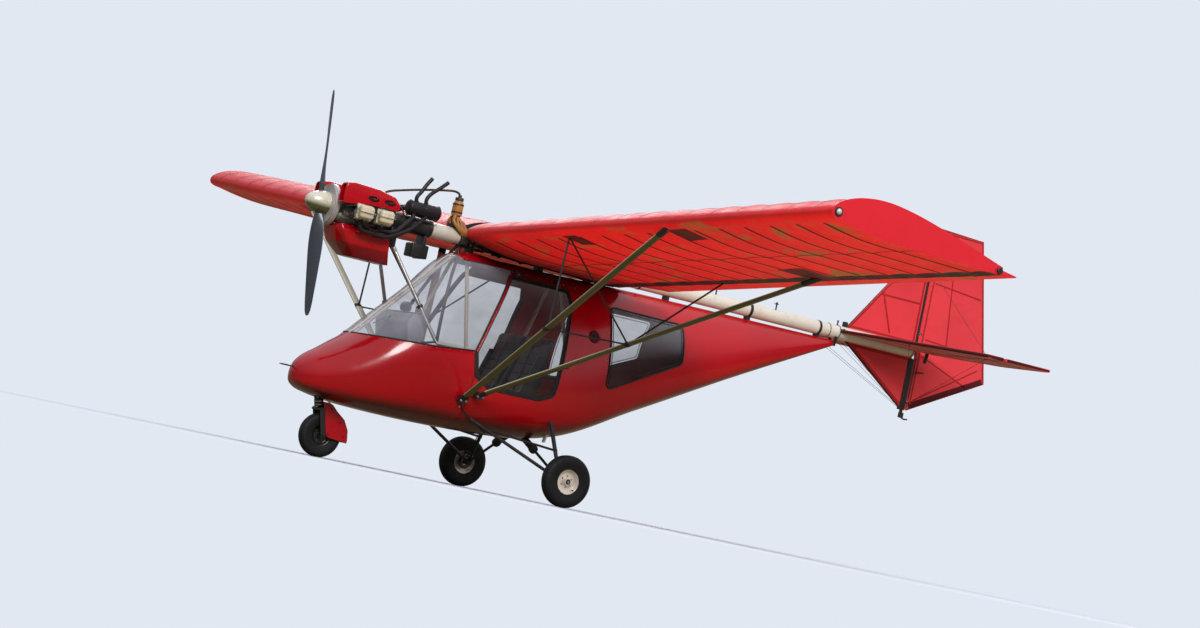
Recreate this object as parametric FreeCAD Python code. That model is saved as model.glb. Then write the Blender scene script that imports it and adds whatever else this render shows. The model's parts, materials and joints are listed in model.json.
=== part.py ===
import FreeCAD, Part
import math
import os

V = FreeCAD.Vector
os.makedirs("parts", exist_ok=True)

# Two-seat, strut-braced, high-wing microlight with the engine on the front of its boom.
# Millimetres. X is forward, Y is to port, Z is up, with the ground at Z = 0.

WING_LE_X = 1910.0
BOOM_Z = 1870.0

BOOM_R = 57.5
BOOM_WALL = 3.0
BOOM_FRONT = 640.0
BOOM_REAR = -4385.0
CLAMP_LENGTH = 330.0

HALF_SPAN = 4800.0
ROOT_Y = 75.0
DIHEDRAL = 0.068
WING_LE_Z = 35.0
REAR_SPAR_BACK = 1410.0
REAR_SPAR_DROP = 100.0
AILERON_IN_Y = 360.0
AILERON_OUT_Y = 4740.0
AILERON_ROOT_CHORD = 275.0
AILERON_TIP_CHORD = 165.0
AILERON_NOSE_R = 21.0
AILERON_GAP = 7.0

SKIN = 12.0
GLAZING = 4.0
DOOR_GAP = 6.0
DOOR_EDGE = 26.0

STRUT_CHORD = 62.0
STRUT_THICK = 27.0
STRUT_TOP_Y = 2870.0

MAIN_X = -843.0
MAIN_Y = 812.0
MAIN_R = 200.0
MAIN_W = 104.0
MAIN_RIM_R = 102.0
NOSE_X = 863.0
NOSE_R = 167.0
NOSE_W = 88.0
NOSE_RIM_R = 84.0
AXLE_R = 12.0
RUNNING_FIT = 0.05
WHEEL_SIDES = 40
RIM_SIDES = 24

PROP_X = 1262.0
PROP_TIP_R = 875.0
PROP_LEAN = 11.5
SPINNER_R = 88.0
SPINNER_TIP = 1382.0
RING_R = 155.0
RING_DEEP = 44.0
FLANGE_FACE = 1196.0
SHAFT_R = 22.0

ENGINE_Z = -20.0
CYLINDER_X = (1018.0, 848.0)
CYLINDER_IN_Y = 100.0
CYLINDER_OUT_Y = 268.0
DUCT_HOLE_X = (958.0, 818.0)
FIN_DEEP = 64.0
FIN_COUNT = 8
MUFFLER_X = (308.0, 585.0)
BOTTLE_X = 108.0
BARREL_R = 46.0

# Rings of the cowl under the engine: height, half width at the side and at the front corner,
# then the stations of the back edge, the flank's end and the front.
COWL_RINGS = [
    (-120, 146, 88, 705, 1126, 1148),
    (-170, 168, 96, 705, 1110, 1146),
    (-262, 158, 84, 690, 1050, 1112),
    (-352, 92, 56, 640, 950, 1010),
]

TAIL_THICK = 26.0
TAIL_POST_X = -4405.0
TAIL_POST_R = 14.0
RUDDER_HINGE_X = -4442.0
ELEVATOR_HINGE_X = -4440.0
STABILISER_Z = 14.0
HINGE_PIN_R = 4.0
LUG_WIDTH = 8.0
LUG_CLEAR = 6.0

PITOT_Z = -1242.0
PITOT_TIP = 1312.0

TIE_DOWN_X = -4411.0
TIE_DOWN_Z = -544.0
TIE_DOWN_R = 6.0

DOOR_HINGE_X = (-340.0, -700.0)
DOOR_HINGE_Y = 348.0
DOOR_HINGE_Z = -196.0
STEM_R = 12.0
SEAT_Y = 215.0
SEAT_HALF = 185.0
SEAT_TOP_Z = -1190.0
LEG_CHORD = 74.0
LEG_THICK = 46.0

# Outline of the nose mudguard's side plates, counted back and up from the hub.
GUARD_BACK = [(2, 250), (34, 236), (82, 194), (150, 146), (194, 74), (206, 0), (205, -22)]
GUARD_FRONT = [(160, -18), (50, -8), (26, 8), (-24, 170), (-52, 250)]


def at(x, y, z):
    """Point given from the wing leading edge and the boom axis."""
    return V(WING_LE_X + x, y, BOOM_Z + z)


def mirrored(shape):
    return shape.mirror(V(0, 0, 0), V(0, 1, 0))


def both(shape):
    return [shape, mirrored(shape)]


def save(name, *shapes):
    solids = []
    for shape in shapes:
        solids.extend(shape.Solids)
    body = solids[0] if len(solids) == 1 else Part.makeCompound(solids)
    body.exportStep("parts/" + name + ".step")


def fuse(shapes):
    body = shapes[0]
    if len(shapes) > 1:
        body = body.multiFuse(shapes[1:])
    return body.removeSplitter()


def rod(start, end, radius):
    axis = end - start
    return Part.makeCylinder(radius, axis.Length, start, axis)


def flat_face(corners):
    return Part.Face(Part.makePolygon(corners + [corners[0]]))


def bridged(rings, flat=True):
    """Solid whose flat faces bridge rings of corners. A warped bay is split on its diagonal."""
    count = len(rings[0])
    faces = [flat_face(rings[0]), flat_face(rings[-1])]
    for low, high in zip(rings[:-1], rings[1:]):
        for k in range(count):
            a, b = low[k], low[(k + 1) % count]
            c, d = high[(k + 1) % count], high[k]
            if flat:
                faces.append(flat_face([a, b, c, d]))
            elif k < count / 2:
                faces.extend([flat_face([a, b, c]), flat_face([a, c, d])])
            else:
                faces.extend([flat_face([a, b, d]), flat_face([b, c, d])])
    shell = Part.makeShell(faces)
    shell.sewShape()
    solid = Part.makeSolid(shell)
    if solid.Volume < 0:
        solid.reverse()
    return solid


def turned(centre, axis, rows, sides):
    """Solid of many flat sides about an axis, from rows of radius and place along it."""
    first = axis.cross(V(0, 0, 1)) if abs(axis.z) < 0.9 else V(1, 0, 0)
    second = axis.cross(first)
    rings = []
    for radius, along in rows:
        corners = []
        for k in range(sides):
            angle = 2 * math.pi * (k + 0.5) / sides
            spoke = first * math.cos(angle) + second * math.sin(angle)
            corners.append(centre + axis * along + spoke * (radius / math.cos(math.pi / sides)))
        rings.append(corners)
    return bridged(rings)


def bent_rod(points, radius, sides=10):
    """Pipe of flat sides with mitred bends."""
    way = V(points[1] - points[0]).normalize()
    first = way.cross(V(0, 0, 1)) if abs(way.z) < 0.9 else way.cross(V(0, 1, 0))
    first.normalize()
    second = way.cross(first)
    corners = []
    for k in range(sides):
        angle = 2 * math.pi * k / sides
        corners.append(points[0] + (first * math.cos(angle) + second * math.sin(angle)) * radius)
    rings = [corners]
    for i in range(1, len(points)):
        before = V(points[i] - points[i - 1]).normalize()
        after = V(points[i + 1] - points[i]).normalize() if i + 1 < len(points) else before
        normal = before + after
        ring = []
        for corner in rings[-1]:
            reach = (points[i] - corner).dot(normal) / before.dot(normal)
            ring.append(corner + before * reach)
        rings.append(ring)
    return bridged(rings)


def hollow_rod(start, end, radius, wall):
    return rod(start, end, radius).cut(rod(start, end, radius - wall))


def streamlined(start, end, chord, thick):
    """Strut of lens section whose long axis lies fore and aft."""
    axis = (end - start).normalize()
    fore = (V(1, 0, 0) - axis * axis.x).normalize()
    side = axis.cross(fore)
    outline = [(0.5, 0.0), (0.40, 0.30), (0.14, 0.5), (-0.14, 0.46), (-0.38, 0.22), (-0.5, 0.0),
               (-0.38, -0.22), (-0.14, -0.46), (0.14, -0.5), (0.40, -0.30)]
    corners = [start + fore * (a * chord) + side * (b * thick) for a, b in outline]
    return Part.Face(Part.makePolygon(corners + [corners[0]])).extrude(end - start)


def block(x0, x1, y0, y1, z0, z1):
    corner = at(min(x0, x1), min(y0, y1), min(z0, z1))
    return Part.makeBox(abs(x1 - x0), abs(y1 - y0), abs(z1 - z0), corner)


def chamfered_block(x0, x1, y0, y1, z0, z1, size):
    body = block(x0, x1, y0, y1, z0, z1)
    return body.makeChamfer(size, body.Edges)


def side_prism(points, y0, y1):
    """Prism whose outline is drawn in the side view."""
    corners = [at(x, y0, z) for x, z in points]
    wire = Part.makePolygon(corners + [corners[0]])
    return Part.Face(wire).extrude(V(0, y1 - y0, 0))


def rounded_outline(points, radius):
    """Closed side-view wire at Y = 0 with each corner rounded."""
    count = len(points)
    edges = []
    ends = []
    for i in range(count):
        corner = at(points[i][0], 0, points[i][1])
        before = at(points[i - 1][0], 0, points[i - 1][1])
        after = at(points[(i + 1) % count][0], 0, points[(i + 1) % count][1])
        to_before = (before - corner).normalize()
        to_after = (after - corner).normalize()
        half = to_before.getAngle(to_after) / 2
        reach = radius / math.tan(half)
        start = corner + to_before * reach
        end = corner + to_after * reach
        middle_way = (to_before + to_after).normalize()
        centre = corner + middle_way * (radius / math.sin(half))
        middle = centre - middle_way * radius
        edges.append(Part.Arc(start, middle, end).toShape())
        ends.append((start, end))
    lines = []
    for i in range(count):
        lines.append(Part.makeLine(ends[i][1], ends[(i + 1) % count][0]))
    ordered = []
    for arc, line in zip(edges, lines):
        ordered.extend([arc, line])
    return Part.Wire(ordered)


def outline_prism(points, radius, y0, y1, grow=0.0):
    wire = rounded_outline(points, radius)
    if grow:
        wire = wire.makeOffset2D(grow)
    face = Part.Face(wire)
    face.translate(V(0, y0, 0))
    return face.extrude(V(0, y1 - y0, 0))


# Sections of the fuselage pod from nose to tail. Each row: station, keel height, half width and
# height at the waist, at mid side and at the shoulder, and the height of the top.
POD = [
    (1198, -1318, 34, -1286, 27, -1268, 15, -1256, -1251),
    (1180, -1356, 92, -1288, 76, -1240, 42, -1210, -1198),
    (1125, -1392, 170, -1288, 142, -1206, 82, -1154, -1134),
    (1010, -1418, 255, -1270, 218, -1160, 128, -1084, -1052),
    (890, -1434, 325, -1240, 286, -1108, 172, -1008, -966),
    (793, -1445, 368, -1212, 332, -1062, 204, -946, -896),
    (600, -1455, 432, -1160, 412, -955, 262, -775, -692),
    (360, -1461, 480, -1105, 464, -840, 284, -560, -438),
    (60, -1462, 512, -1060, 474, -700, 285, -222, -128),
    (-300, -1453, 528, -1034, 484, -646, 322, -192, -111),
    (-700, -1424, 522, -1014, 478, -632, 308, -186, -108),
    (-1000, -1358, 490, -960, 446, -600, 258, -182, -102),
    (-1700, -1026, 372, -700, 332, -450, 152, -160, -88),
    (-2566, -596, 222, -410, 196, -285, 86, -126, -80),
    (-3565, -124, 40, -100, 36, -90, 24, -78, -72),
]


def pod_loop(row, inset):
    """Points round one section, from the keel up the port side and down the other."""
    x, keel, waist, waist_z, mid, mid_z, shoulder, shoulder_z, top = row
    depth = waist_z - keel
    half = [
        (0.0, keel),
        (waist * 0.52, keel + depth * 0.045),
        (waist * 0.86, keel + depth * 0.26),
        (waist, waist_z),
        (mid, mid_z),
        (shoulder, shoulder_z),
        (0.0, top),
    ]
    other = [(-y, z) for y, z in reversed(half[1:-1])]
    middle_z = (keel + top) / 2
    points = []
    for y, z in half + other:
        reach = math.hypot(y, z - middle_z)
        share = max(0.4, (reach - inset) / reach)
        points.append(at(x, y * share, middle_z + (z - middle_z) * share))
    return points


def loop_parameters(row):
    """Spacing of the section points, the same on every section so that the skin stays fair."""
    points = pod_loop(row, 0)
    marks = [0.0]
    for start, end in zip(points, points[1:] + points[:1]):
        marks.append(marks[-1] + (end - start).Length ** 0.75)
    return [mark / marks[-1] for mark in marks]


POD_MARKS = loop_parameters(POD[9])
SECTION_SIDES = 26


def pod_section(row, inset):
    """Corners of one section, where the stringers of the skin run."""
    curve = Part.BSplineCurve()
    curve.interpolate(Points=pod_loop(row, inset), PeriodicFlag=True, Parameters=POD_MARKS)
    return [curve.value(k / SECTION_SIDES) for k in range(SECTION_SIDES)]


def pod_solid(inset):
    """Straight between its frames, with flat bays between the stringers."""
    rows = list(POD)
    if inset:
        rows = rows[1:-1]
        rows[0] = (POD[1][0] - inset,) + POD[1][1:]
    return bridged([pod_section(row, inset) for row in rows], flat=False)


WIDE = 900.0
SCREEN_BASE = [(1000, -925), (793, -899), (300, -876), (-6, -846)]
SILL_REAR = (-27, -846)
DOOR_OUTLINE = [(-18, -850), (-52, -1030), (-190, -1106), (-640, -1106), (-765, -1050),
                (-838, -330), (-800, -222), (-262, -222)]
WINDOW_OUTLINE = [(-1240, -270), (-1965, -270), (-1965, -575), (-1240, -915)]
ROOF_EDGE_Z = -176.0


ENGINE_STRUT = (at(653, 118, -194), at(256, 384, -851))
ENGINE_STRUT_R = 14.0
SPINE_HALF = 11.0


def pod_panels():
    """Shell of the pod divided into the panels it is made from."""
    skin = POD_OUTER.cut(POD_INNER)
    pane = POD_OUTER.cut(pod_solid(GLAZING))

    screen_edge = SCREEN_BASE + [SILL_REAR, (-290, ROOF_EDGE_Z), (-290, 100), (1000, 100)]
    glass_zone = side_prism(screen_edge, -WIDE, WIDE)
    roof_zone = side_prism([(75, ROOF_EDGE_Z), (75, 50), (-900, 50), (-900, ROOF_EDGE_Z)], -WIDE, WIDE)
    aft_zone = side_prism([(-20, -1640), (-44, -1000), SILL_REAR, (-290, ROOF_EDGE_Z),
                           (-290, 60), (-3700, 60), (-3700, -1640)], -WIDE, WIDE)
    spine_zone = block(1300, -100, -SPINE_HALF, SPINE_HALF, -1000, 0)
    door_hole = outline_prism(DOOR_OUTLINE, 45, 150, WIDE, DOOR_GAP)
    door_zone = outline_prism(DOOR_OUTLINE, 45, 150, WIDE)
    door_light = outline_prism(DOOR_OUTLINE, 45, 150, WIDE, -DOOR_EDGE)
    window = outline_prism(WINDOW_OUTLINE, 45, 60, WIDE)

    front = pane.common(glass_zone).cut(roof_zone)
    spine = front.common(spine_zone)
    screen = front.cut(spine_zone)
    cowl = skin.cut(glass_zone).cut(aft_zone).cut(roof_zone)
    rear = skin.common(aft_zone).cut(roof_zone)
    for cutter in both(door_hole) + both(window):
        screen = screen.cut(cutter)
        rear = rear.cut(cutter)
        cowl = cowl.cut(cutter)
    return {
        "screen": screen,
        "spine": spine,
        "cowl": cowl,
        "roof": skin.common(roof_zone),
        "rear": rear,
        "door": skin.common(door_zone).cut(door_light),
        "door_pane": pane.common(door_light),
        "window": pane.common(window),
    }


def outside(shape, *cutters):
    """The largest piece of a shape that is left outside the cutters."""
    for cutter in cutters:
        shape = shape.cut(cutter)
    return max(shape.Solids, key=lambda solid: solid.Volume)


def door_hinges(frame):
    """Fixed lugs with pins, and the eyes of the door that turn on them."""
    axis = V(1, 0, 0)
    lugs = []
    for x in DOOR_HINGE_X:
        point = at(x, DOOR_HINGE_Y, DOOR_HINGE_Z)
        lug = hinge_lug(point, axis, at(x, DOOR_HINGE_Y - 50, DOOR_HINGE_Z + 22), LUG_WIDTH, 8)
        lugs.append(outside(lug, POD_OUTER))
        for side in (1, -1):
            offset = side * (LUG_WIDTH / 2 + LUG_CLEAR + 6)
            centre = point + V(offset, 0, 0)
            eye = Part.makeCylinder(9, 12, centre - V(6, 0, 0), axis)
            arm = side_prism([(0, 0), (12, 0), (12, -44), (0, -44)], -10, 0)
            arm.translate(V(x + offset - 6, DOOR_HINGE_Y + 4, DOOR_HINGE_Z))
            arm = arm.fuse(Part.makeBox(12, 60, 12, centre + V(-6, -56, -44)))
            leaf = eye.fuse(arm).cut(POD_OUTER)
            bore = Part.makeCylinder(HINGE_PIN_R + RUNNING_FIT, 60, point - V(30, 0, 0), axis)
            frame = frame.fuse(max(leaf.Solids, key=lambda solid: solid.Volume)).cut(bore)
    return lugs, outside(frame)


def build_pod():
    panels = pod_panels()
    tubes, struts, grommets = CABIN
    screen = panels["screen"]
    for hole in both(rod(ENGINE_STRUT[0], ENGINE_STRUT[1], ENGINE_STRUT_R + 9)):
        screen = screen.cut(hole)
    save("windscreen", screen)
    save("nose_cowl", outside(panels["cowl"]))
    pitot = rod(at(1120, 0, PITOT_Z), at(PITOT_TIP, 0, PITOT_Z), 6)
    save("pitot_tube", outside(pitot, POD_OUTER))
    save("roof_panel", outside(panels["roof"]))
    save("fuselage_skin", outside(panels["rear"]))
    lugs, frame = door_hinges(panels["door"])
    save("door_frame_port", frame)
    save("door_frame_starboard", mirrored(frame))
    save("door_glazing_port", panels["door_pane"])
    save("door_glazing_starboard", mirrored(panels["door_pane"]))
    save("door_hinges", *(lugs + [mirrored(lug) for lug in lugs]))
    save("quarter_windows", *both(panels["window"]))
    keel = rod(at(785, 0, -914), at(62, 0, -144), 15).common(pod_solid(GLAZING))
    keel = keel.fuse(panels["spine"]).cut(panels["cowl"]).cut(panels["roof"])
    save("cabin_frame", tubes, keel)
    save("engine_struts", *struts)


def flat_surface(points, thick):
    """Flat panel of even thickness about the plane its corners lie in."""
    wire = Part.makePolygon(points + [points[0]])
    face = Part.Face(wire)
    normal = face.normalAt(0, 0)
    face.translate(normal * (-thick / 2))
    return face.extrude(normal * thick)


def hinge_lug(point, axis, root, width, radius):
    """Fixed lug that reaches back to its carrier and holds a pin along the hinge line."""
    along = V(axis).normalize()
    start = point - along * (width / 2)
    reach = root - point
    across = along.cross(reach).normalize() * radius
    tip = V(reach).normalize() * (-radius)
    corners = [start + across * 0.5 + tip, start + across, start + across + reach,
               start - across + reach, start - across, start - across * 0.5 + tip]
    strap = Part.Face(Part.makePolygon(corners + [corners[0]])).extrude(along * width)
    pin_length = width + 2 * LUG_CLEAR + 24
    pin = Part.makeCylinder(HINGE_PIN_R, pin_length, point - along * (pin_length / 2), along)
    return strap.fuse(pin)


def hinge_notch(point, axis, forward, width, radius):
    """Room for a lug, and the bore its pin turns in, cut from the moving piece."""
    along = V(axis).normalize()
    gap = width + 2 * LUG_CLEAR
    side = along.cross(forward).normalize()
    corner = point - along * (gap / 2) - forward * radius - side * 60
    face = Part.makePolygon([corner, corner + side * 120, corner + side * 120 + forward * 2 * radius,
                             corner + forward * 2 * radius, corner])
    room = Part.Face(face).extrude(along * gap)
    bore_length = gap + 26
    start = point - along * (bore_length / 2)
    return room.fuse(Part.makeCylinder(HINGE_PIN_R + RUNNING_FIT, bore_length, start, along))


def build_boom():
    front = at(BOOM_FRONT, 0, 0)
    rear = at(BOOM_REAR, 0, 0)
    save("boom_tube", hollow_rod(front, rear, BOOM_R, BOOM_WALL))


def build_hangers():
    """Saddles under the boom that carry the pod, and collars that take the wing roots."""
    saddles = []
    for x, length in ((-60, 60), (-700, 60), (-1150, 50), (-1900, 40), (-2700, 36), (-3400, 30)):
        post = block(x - length / 2, x + length / 2, -24, 24, -200, -20)
        saddles.append(post.cut(BOOM_SOLID).cut(POD_OUTER))
    lower = [max(piece.Solids, key=lambda solid: solid.BoundBox.ZMax) for piece in saddles]
    collars = []
    for x in (-8.0, -(REAR_SPAR_BACK - 30)):
        ring = rod(at(x - 26, 0, 0), at(x + 26, 0, 0), BOOM_R + 12)
        z0 = WING_LE_Z - 20 if x > -100 else WING_LE_Z - REAR_SPAR_DROP
        ears = block(x - 26, x + 26, -ROOT_Y, ROOT_Y, z0 - 22, z0 + 22)
        collars.append(ring.fuse(ears).cut(BOOM_SOLID))
    save("boom_fittings", *(lower + collars))


def wing_section(y):
    z0 = WING_LE_Z + DIHEDRAL * y
    back = REAR_SPAR_BACK
    drop = REAR_SPAR_DROP
    upper = [(-0.024, -6), (-0.016, 24), (0.018, 62), (0.085, 104), (0.19, 134), (0.29, 139),
             (0.45, 112), (0.72, 28), (1.0, 27 - drop)]
    lower = [(1.0, -27 - drop), (0.6, -118), (0.30, -110), (0.16, -88), (0.055, -62),
             (0.0, -48), (-0.018, -32), (-0.024, -6)]
    top = Part.BSplineCurve()
    top.interpolate([at(-x * back, y, z0 + z) for x, z in upper])
    under = Part.BSplineCurve()
    under.interpolate([at(-x * back, y, z0 + z) for x, z in lower])
    rear = Part.makeLine(at(-back, y, z0 + upper[-1][1]), at(-back, y, z0 + lower[0][1]))
    return Part.Wire([top.toShape(), rear, under.toShape()])


def hinge_point(y):
    back = REAR_SPAR_BACK + AILERON_GAP + AILERON_NOSE_R
    return at(-back, y, WING_LE_Z + DIHEDRAL * y - REAR_SPAR_DROP)


def aileron_section(y, chord):
    hinge = hinge_point(y)
    r = AILERON_NOSE_R
    corners = [hinge + V(0, 0, r), hinge + V(r * 0.72, 0, r * 0.64), hinge + V(r, 0, 0),
               hinge + V(r * 0.72, 0, -r * 0.64), hinge + V(0, 0, -r), hinge + V(r - chord, 0, -7),
               hinge + V(r - chord, 0, 1)]
    return corners


def build_wing():
    save("wing_port", WING)
    save("wing_starboard", mirrored(WING))
    root = aileron_section(AILERON_IN_Y, AILERON_ROOT_CHORD)
    tip = aileron_section(AILERON_OUT_Y, AILERON_TIP_CHORD)
    aileron = bridged([root, tip], flat=False)
    axis = hinge_point(1000) - hinge_point(0)
    lugs = []
    for y in (620, 2550, 4480):
        point = hinge_point(y)
        root_point = point + V(AILERON_NOSE_R + AILERON_GAP, 0, 0)
        lugs.append(hinge_lug(point, axis, root_point, LUG_WIDTH, 9).cut(WING))
        aileron = aileron.cut(hinge_notch(point, axis, V(1, 0, 0), LUG_WIDTH, AILERON_NOSE_R + 2))
    save("aileron_port", aileron)
    save("aileron_starboard", mirrored(aileron))
    save("aileron_hinges", *(lugs + [mirrored(lug) for lug in lugs]))
    z_tip = WING_LE_Z + DIHEDRAL * HALF_SPAN
    front = at(-18, HALF_SPAN, z_tip - 6)
    rear = at(-REAR_SPAR_BACK + 26, HALF_SPAN, z_tip - REAR_SPAR_DROP)
    caps = both(rod(front, front + V(0, 22, 0), 32)) + both(rod(rear, rear + V(0, 16, 0), 22))
    save("spar_end_caps", *caps)


def spar_point(x, y, below):
    return at(x, y, WING_LE_Z + DIHEDRAL * y - below)


def build_struts():
    front_top = spar_point(-30, STRUT_TOP_Y, 10)
    rear_top = spar_point(-1380, STRUT_TOP_Y, 100)
    front_foot = at(13, 524, -1224)
    rear_foot = at(-100, 560, -1171)
    front = outside(streamlined(front_foot, front_top, STRUT_CHORD, STRUT_THICK), WING)
    rear = outside(streamlined(rear_foot, rear_top, STRUT_CHORD, STRUT_THICK), WING)
    save("lift_struts", *(both(front) + both(rear)))

    share_front = 0.42
    share_rear = 0.44
    low_front = front_foot + (front_top - front_foot) * share_front
    low_rear = rear_foot + (rear_top - rear_foot) * share_rear
    upper_front = spar_point(-30, low_front.y, 20)
    upper_rear = spar_point(-1380, low_rear.y, 100)
    tie = rod(low_front, low_rear, 9)
    post_front = rod(low_front, upper_front, 11)
    post_rear = rod(low_rear, upper_rear, 9)
    diagonal = rod(upper_front + V(-8, 0, -60), low_rear, 7)
    jury = outside(fuse([tie, post_front, post_rear, diagonal]), front, rear, WING)
    save("jury_struts", *both(jury))

    fittings = []
    for foot, length in ((front_foot, 70), (rear_foot, 60)):
        plate = Part.makeBox(length, 80, 54, foot - V(length / 2, 62, 27))
        fittings.append(plate)
    body = fuse(fittings).cut(POD_OUTER).cut(front).cut(rear)
    body = [solid for solid in body.Solids if solid.BoundBox.YMax > 520]
    save("strut_fittings", *(body + [mirrored(solid) for solid in body] + CABIN[2]))


def cylinder_barrel(x, side):
    """Finned barrel and head, drawn as a comb in plan and cut to its height."""
    pitch = (CYLINDER_OUT_Y - CYLINDER_IN_Y) / FIN_COUNT
    comb = [(-FIN_DEEP, CYLINDER_IN_Y)]
    for k in range(FIN_COUNT):
        y = CYLINDER_IN_Y + pitch * k
        comb.extend([(-BARREL_R, y), (-BARREL_R, y + pitch * 0.55), (-FIN_DEEP, y + pitch * 0.55),
                     (-FIN_DEEP, y + pitch)])
    comb[0] = (-BARREL_R, CYLINDER_IN_Y)
    back = [(-a, y) for a, y in reversed(comb)]
    points = [at(x + a, side * y, ENGINE_Z - FIN_DEEP) for a, y in comb + back]
    body = Part.Face(Part.makePolygon(points + [points[0]])).extrude(V(0, 0, 2 * FIN_DEEP))
    lo, hi = sorted((side * CYLINDER_IN_Y, side * CYLINDER_OUT_Y))
    for k in range(FIN_COUNT):
        y = CYLINDER_IN_Y + pitch * k
        y0, y1 = sorted((side * y, side * (y + pitch * 0.55)))
        for z0, z1 in ((BARREL_R, FIN_DEEP + 5), (-FIN_DEEP - 5, -BARREL_R)):
            body = body.cut(block(x - 90, x + 90, y0, y1, ENGINE_Z + z0, ENGINE_Z + z1))
    return body.removeSplitter()


def build_engine():
    crankcase = chamfered_block(745, 1150, -100, 100, -120, 95, 18)
    save("engine_block", crankcase)
    barrels = [cylinder_barrel(x, side) for x in CYLINDER_X for side in (1, -1)]
    save("engine_cylinders", *barrels)
    covers = []
    for x in CYLINDER_X:
        for side in (1, -1):
            lo, hi = sorted((side * CYLINDER_OUT_Y, side * (CYLINDER_OUT_Y + 70)))
            covers.append(chamfered_block(x - 68, x + 68, lo, hi, ENGINE_Z - 54, ENGINE_Z + 56, 16))
    save("rocker_covers", *covers)

    housing = turned(at(1150, 0, 0), V(1, 0, 0), [(86, 0), (50, FLANGE_FACE - 1156)], RIM_SIDES)
    shaft = rod(at(1160, 0, 0), at(FLANGE_FACE + 34, 0, 0), SHAFT_R)
    save("drive_housing", fuse([housing, shaft]).cut(crankcase))

    outline = [(1198, 12), (1206, 60), (1203, 150), (1186, 174), (1130, 184), (920, 176), (775, 148),
               (722, 96), (724, 58), (752, 40), (980, 40), (1110, 20)]
    duct = side_prism(outline, 168, 262)
    duct = duct.makeChamfer(12, [edge for edge in duct.Edges if edge.BoundBox.YLength < 1])
    mouth = side_prism([(1300, 30), (1120, 34), (1120, 164), (1300, 158)], 182, 250)
    duct = duct.cut(mouth)
    for x in DUCT_HOLE_X:
        oval = side_prism([(x - 48, 92), (x - 36, 76), (x + 30, 72), (x + 50, 84), (x + 50, 100),
                           (x + 36, 112), (x - 30, 116), (x - 48, 106)], 246, 300)
        duct = duct.cut(oval)
    inlet = side_prism([(1110, 44), (1150, 44), (1150, 150), (1110, 150)], 120, 168)
    duct = outside(duct.fuse(inlet).cut(crankcase), *barrels, *covers)
    save("air_ducts", *both(duct))

    rings = []
    for z, side, corner, rear, flank, front in COWL_RINGS:
        rings.append([at(rear, -side, z), at(flank, -side, z), at(front, -corner, z),
                      at(front, corner, z), at(flank, side, z), at(rear, side, z)])
    cowl = bridged(rings, flat=False)
    save("lower_cowl", cowl)

    mount = block(652, 745, -62, 62, -112, 60)
    beam = block(640, 700, -140, 140, -120, -60)
    arms = [block(640, 690, side * 140, side * 104, -215, -60) for side in (1, -1)]
    spigot = rod(at(560, 0, 0), at(660, 0, 0), BOOM_R - BOOM_WALL)
    face = rod(at(BOOM_FRONT, 0, 0), at(662, 0, 0), BOOM_R + 15)
    sleeve = hollow_rod(at(BOOM_FRONT, 0, 0), at(BOOM_FRONT - CLAMP_LENGTH, 0, 0), BOOM_R + 9, 9)
    mount = fuse([mount, beam, spigot, face, sleeve] + arms)
    mount = outside(mount, cowl, *both(rod(ENGINE_STRUT[0], ENGINE_STRUT[1], ENGINE_STRUT_R)))
    save("engine_mount", mount)

    pipes = []
    length = MUFFLER_X[1] - MUFFLER_X[0]
    canister = turned(at(MUFFLER_X[0], 96, 118), V(1, 0, 0),
                      [(40, 0), (58, 18), (58, length - 18), (40, length)], 16)
    front_x, rear_x = CYLINDER_X
    pipes.append(bent_rod([at(front_x, 232, -78), at(front_x - 14, 232, -150), at(780, 232, -158),
                           at(590, 190, -66), at(430, 120, 70), at(430, 100, 110)], 17))
    pipes.append(bent_rod([at(rear_x, 206, -78), at(rear_x - 14, 206, -116), at(700, 200, -100),
                           at(560, 140, 20), at(520, 110, 100)], 17))
    pipes.append(bent_rod([at(front_x, -232, -78), at(front_x - 14, -232, -150), at(780, -232, -158),
                           at(640, -150, 60), at(520, -60, 128), at(480, 60, 122)], 17))
    pipes.append(bent_rod([at(rear_x, -206, -78), at(rear_x - 14, -206, -116), at(700, -200, -100),
                           at(610, -130, 40), at(560, -70, 100), at(520, 0, 122)], 17))
    header = outside(fuse(pipes + [canister]), *barrels, BOOM_SOLID, mount, cowl)
    stacks = []
    for x, reach in ((515, 92), (430, 148)):
        stacks.append(bent_rod([at(x, 96, 150), at(x + 6, 96, 205), at(x - 24, 96, 256),
                                at(x - reach, 96, 372)], 15))
    header = outside(header.multiFuse(stacks))
    save("exhaust_system", header)

    x = BOTTLE_X
    bottle = turned(at(x, 0, 150), V(0, 0, 1), [(30, 0), (36, 8), (36, 92), (27, 112), (27, 118)], 16)
    lid = turned(at(x, 0, 268), V(0, 0, 1), [(33, 0), (33, 20), (24, 30)], 16)
    stand = block(x - 22, x + 22, -30, 30, 40, 150).cut(BOOM_SOLID)
    stand = max(stand.Solids, key=lambda solid: solid.BoundBox.ZMax)
    save("breather_bottle", bottle)
    hose = bent_rod([at(770, 0, 88), at(764, 0, 150), at(725, 0, 206), at(560, 0, 250), at(260, 0, 318),
                     at(170, 0, 330), at(x + 12, 0, 318), at(x, 0, 296)], 9)
    hose = outside(hose.fuse(lid), crankcase)
    save("breather_hose", hose, stand)
    box = chamfered_block(312, 455, -62, 62, -236, -128, 10)
    straps = block(350, 372, -20, 20, -128, -50).cut(rod(at(300, 0, 0), at(420, 0, 0), BOOM_R + 9))
    strap = min(straps.Solids, key=lambda solid: solid.BoundBox.ZMin)
    save("ignition_box", fuse([box, strap]))


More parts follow.
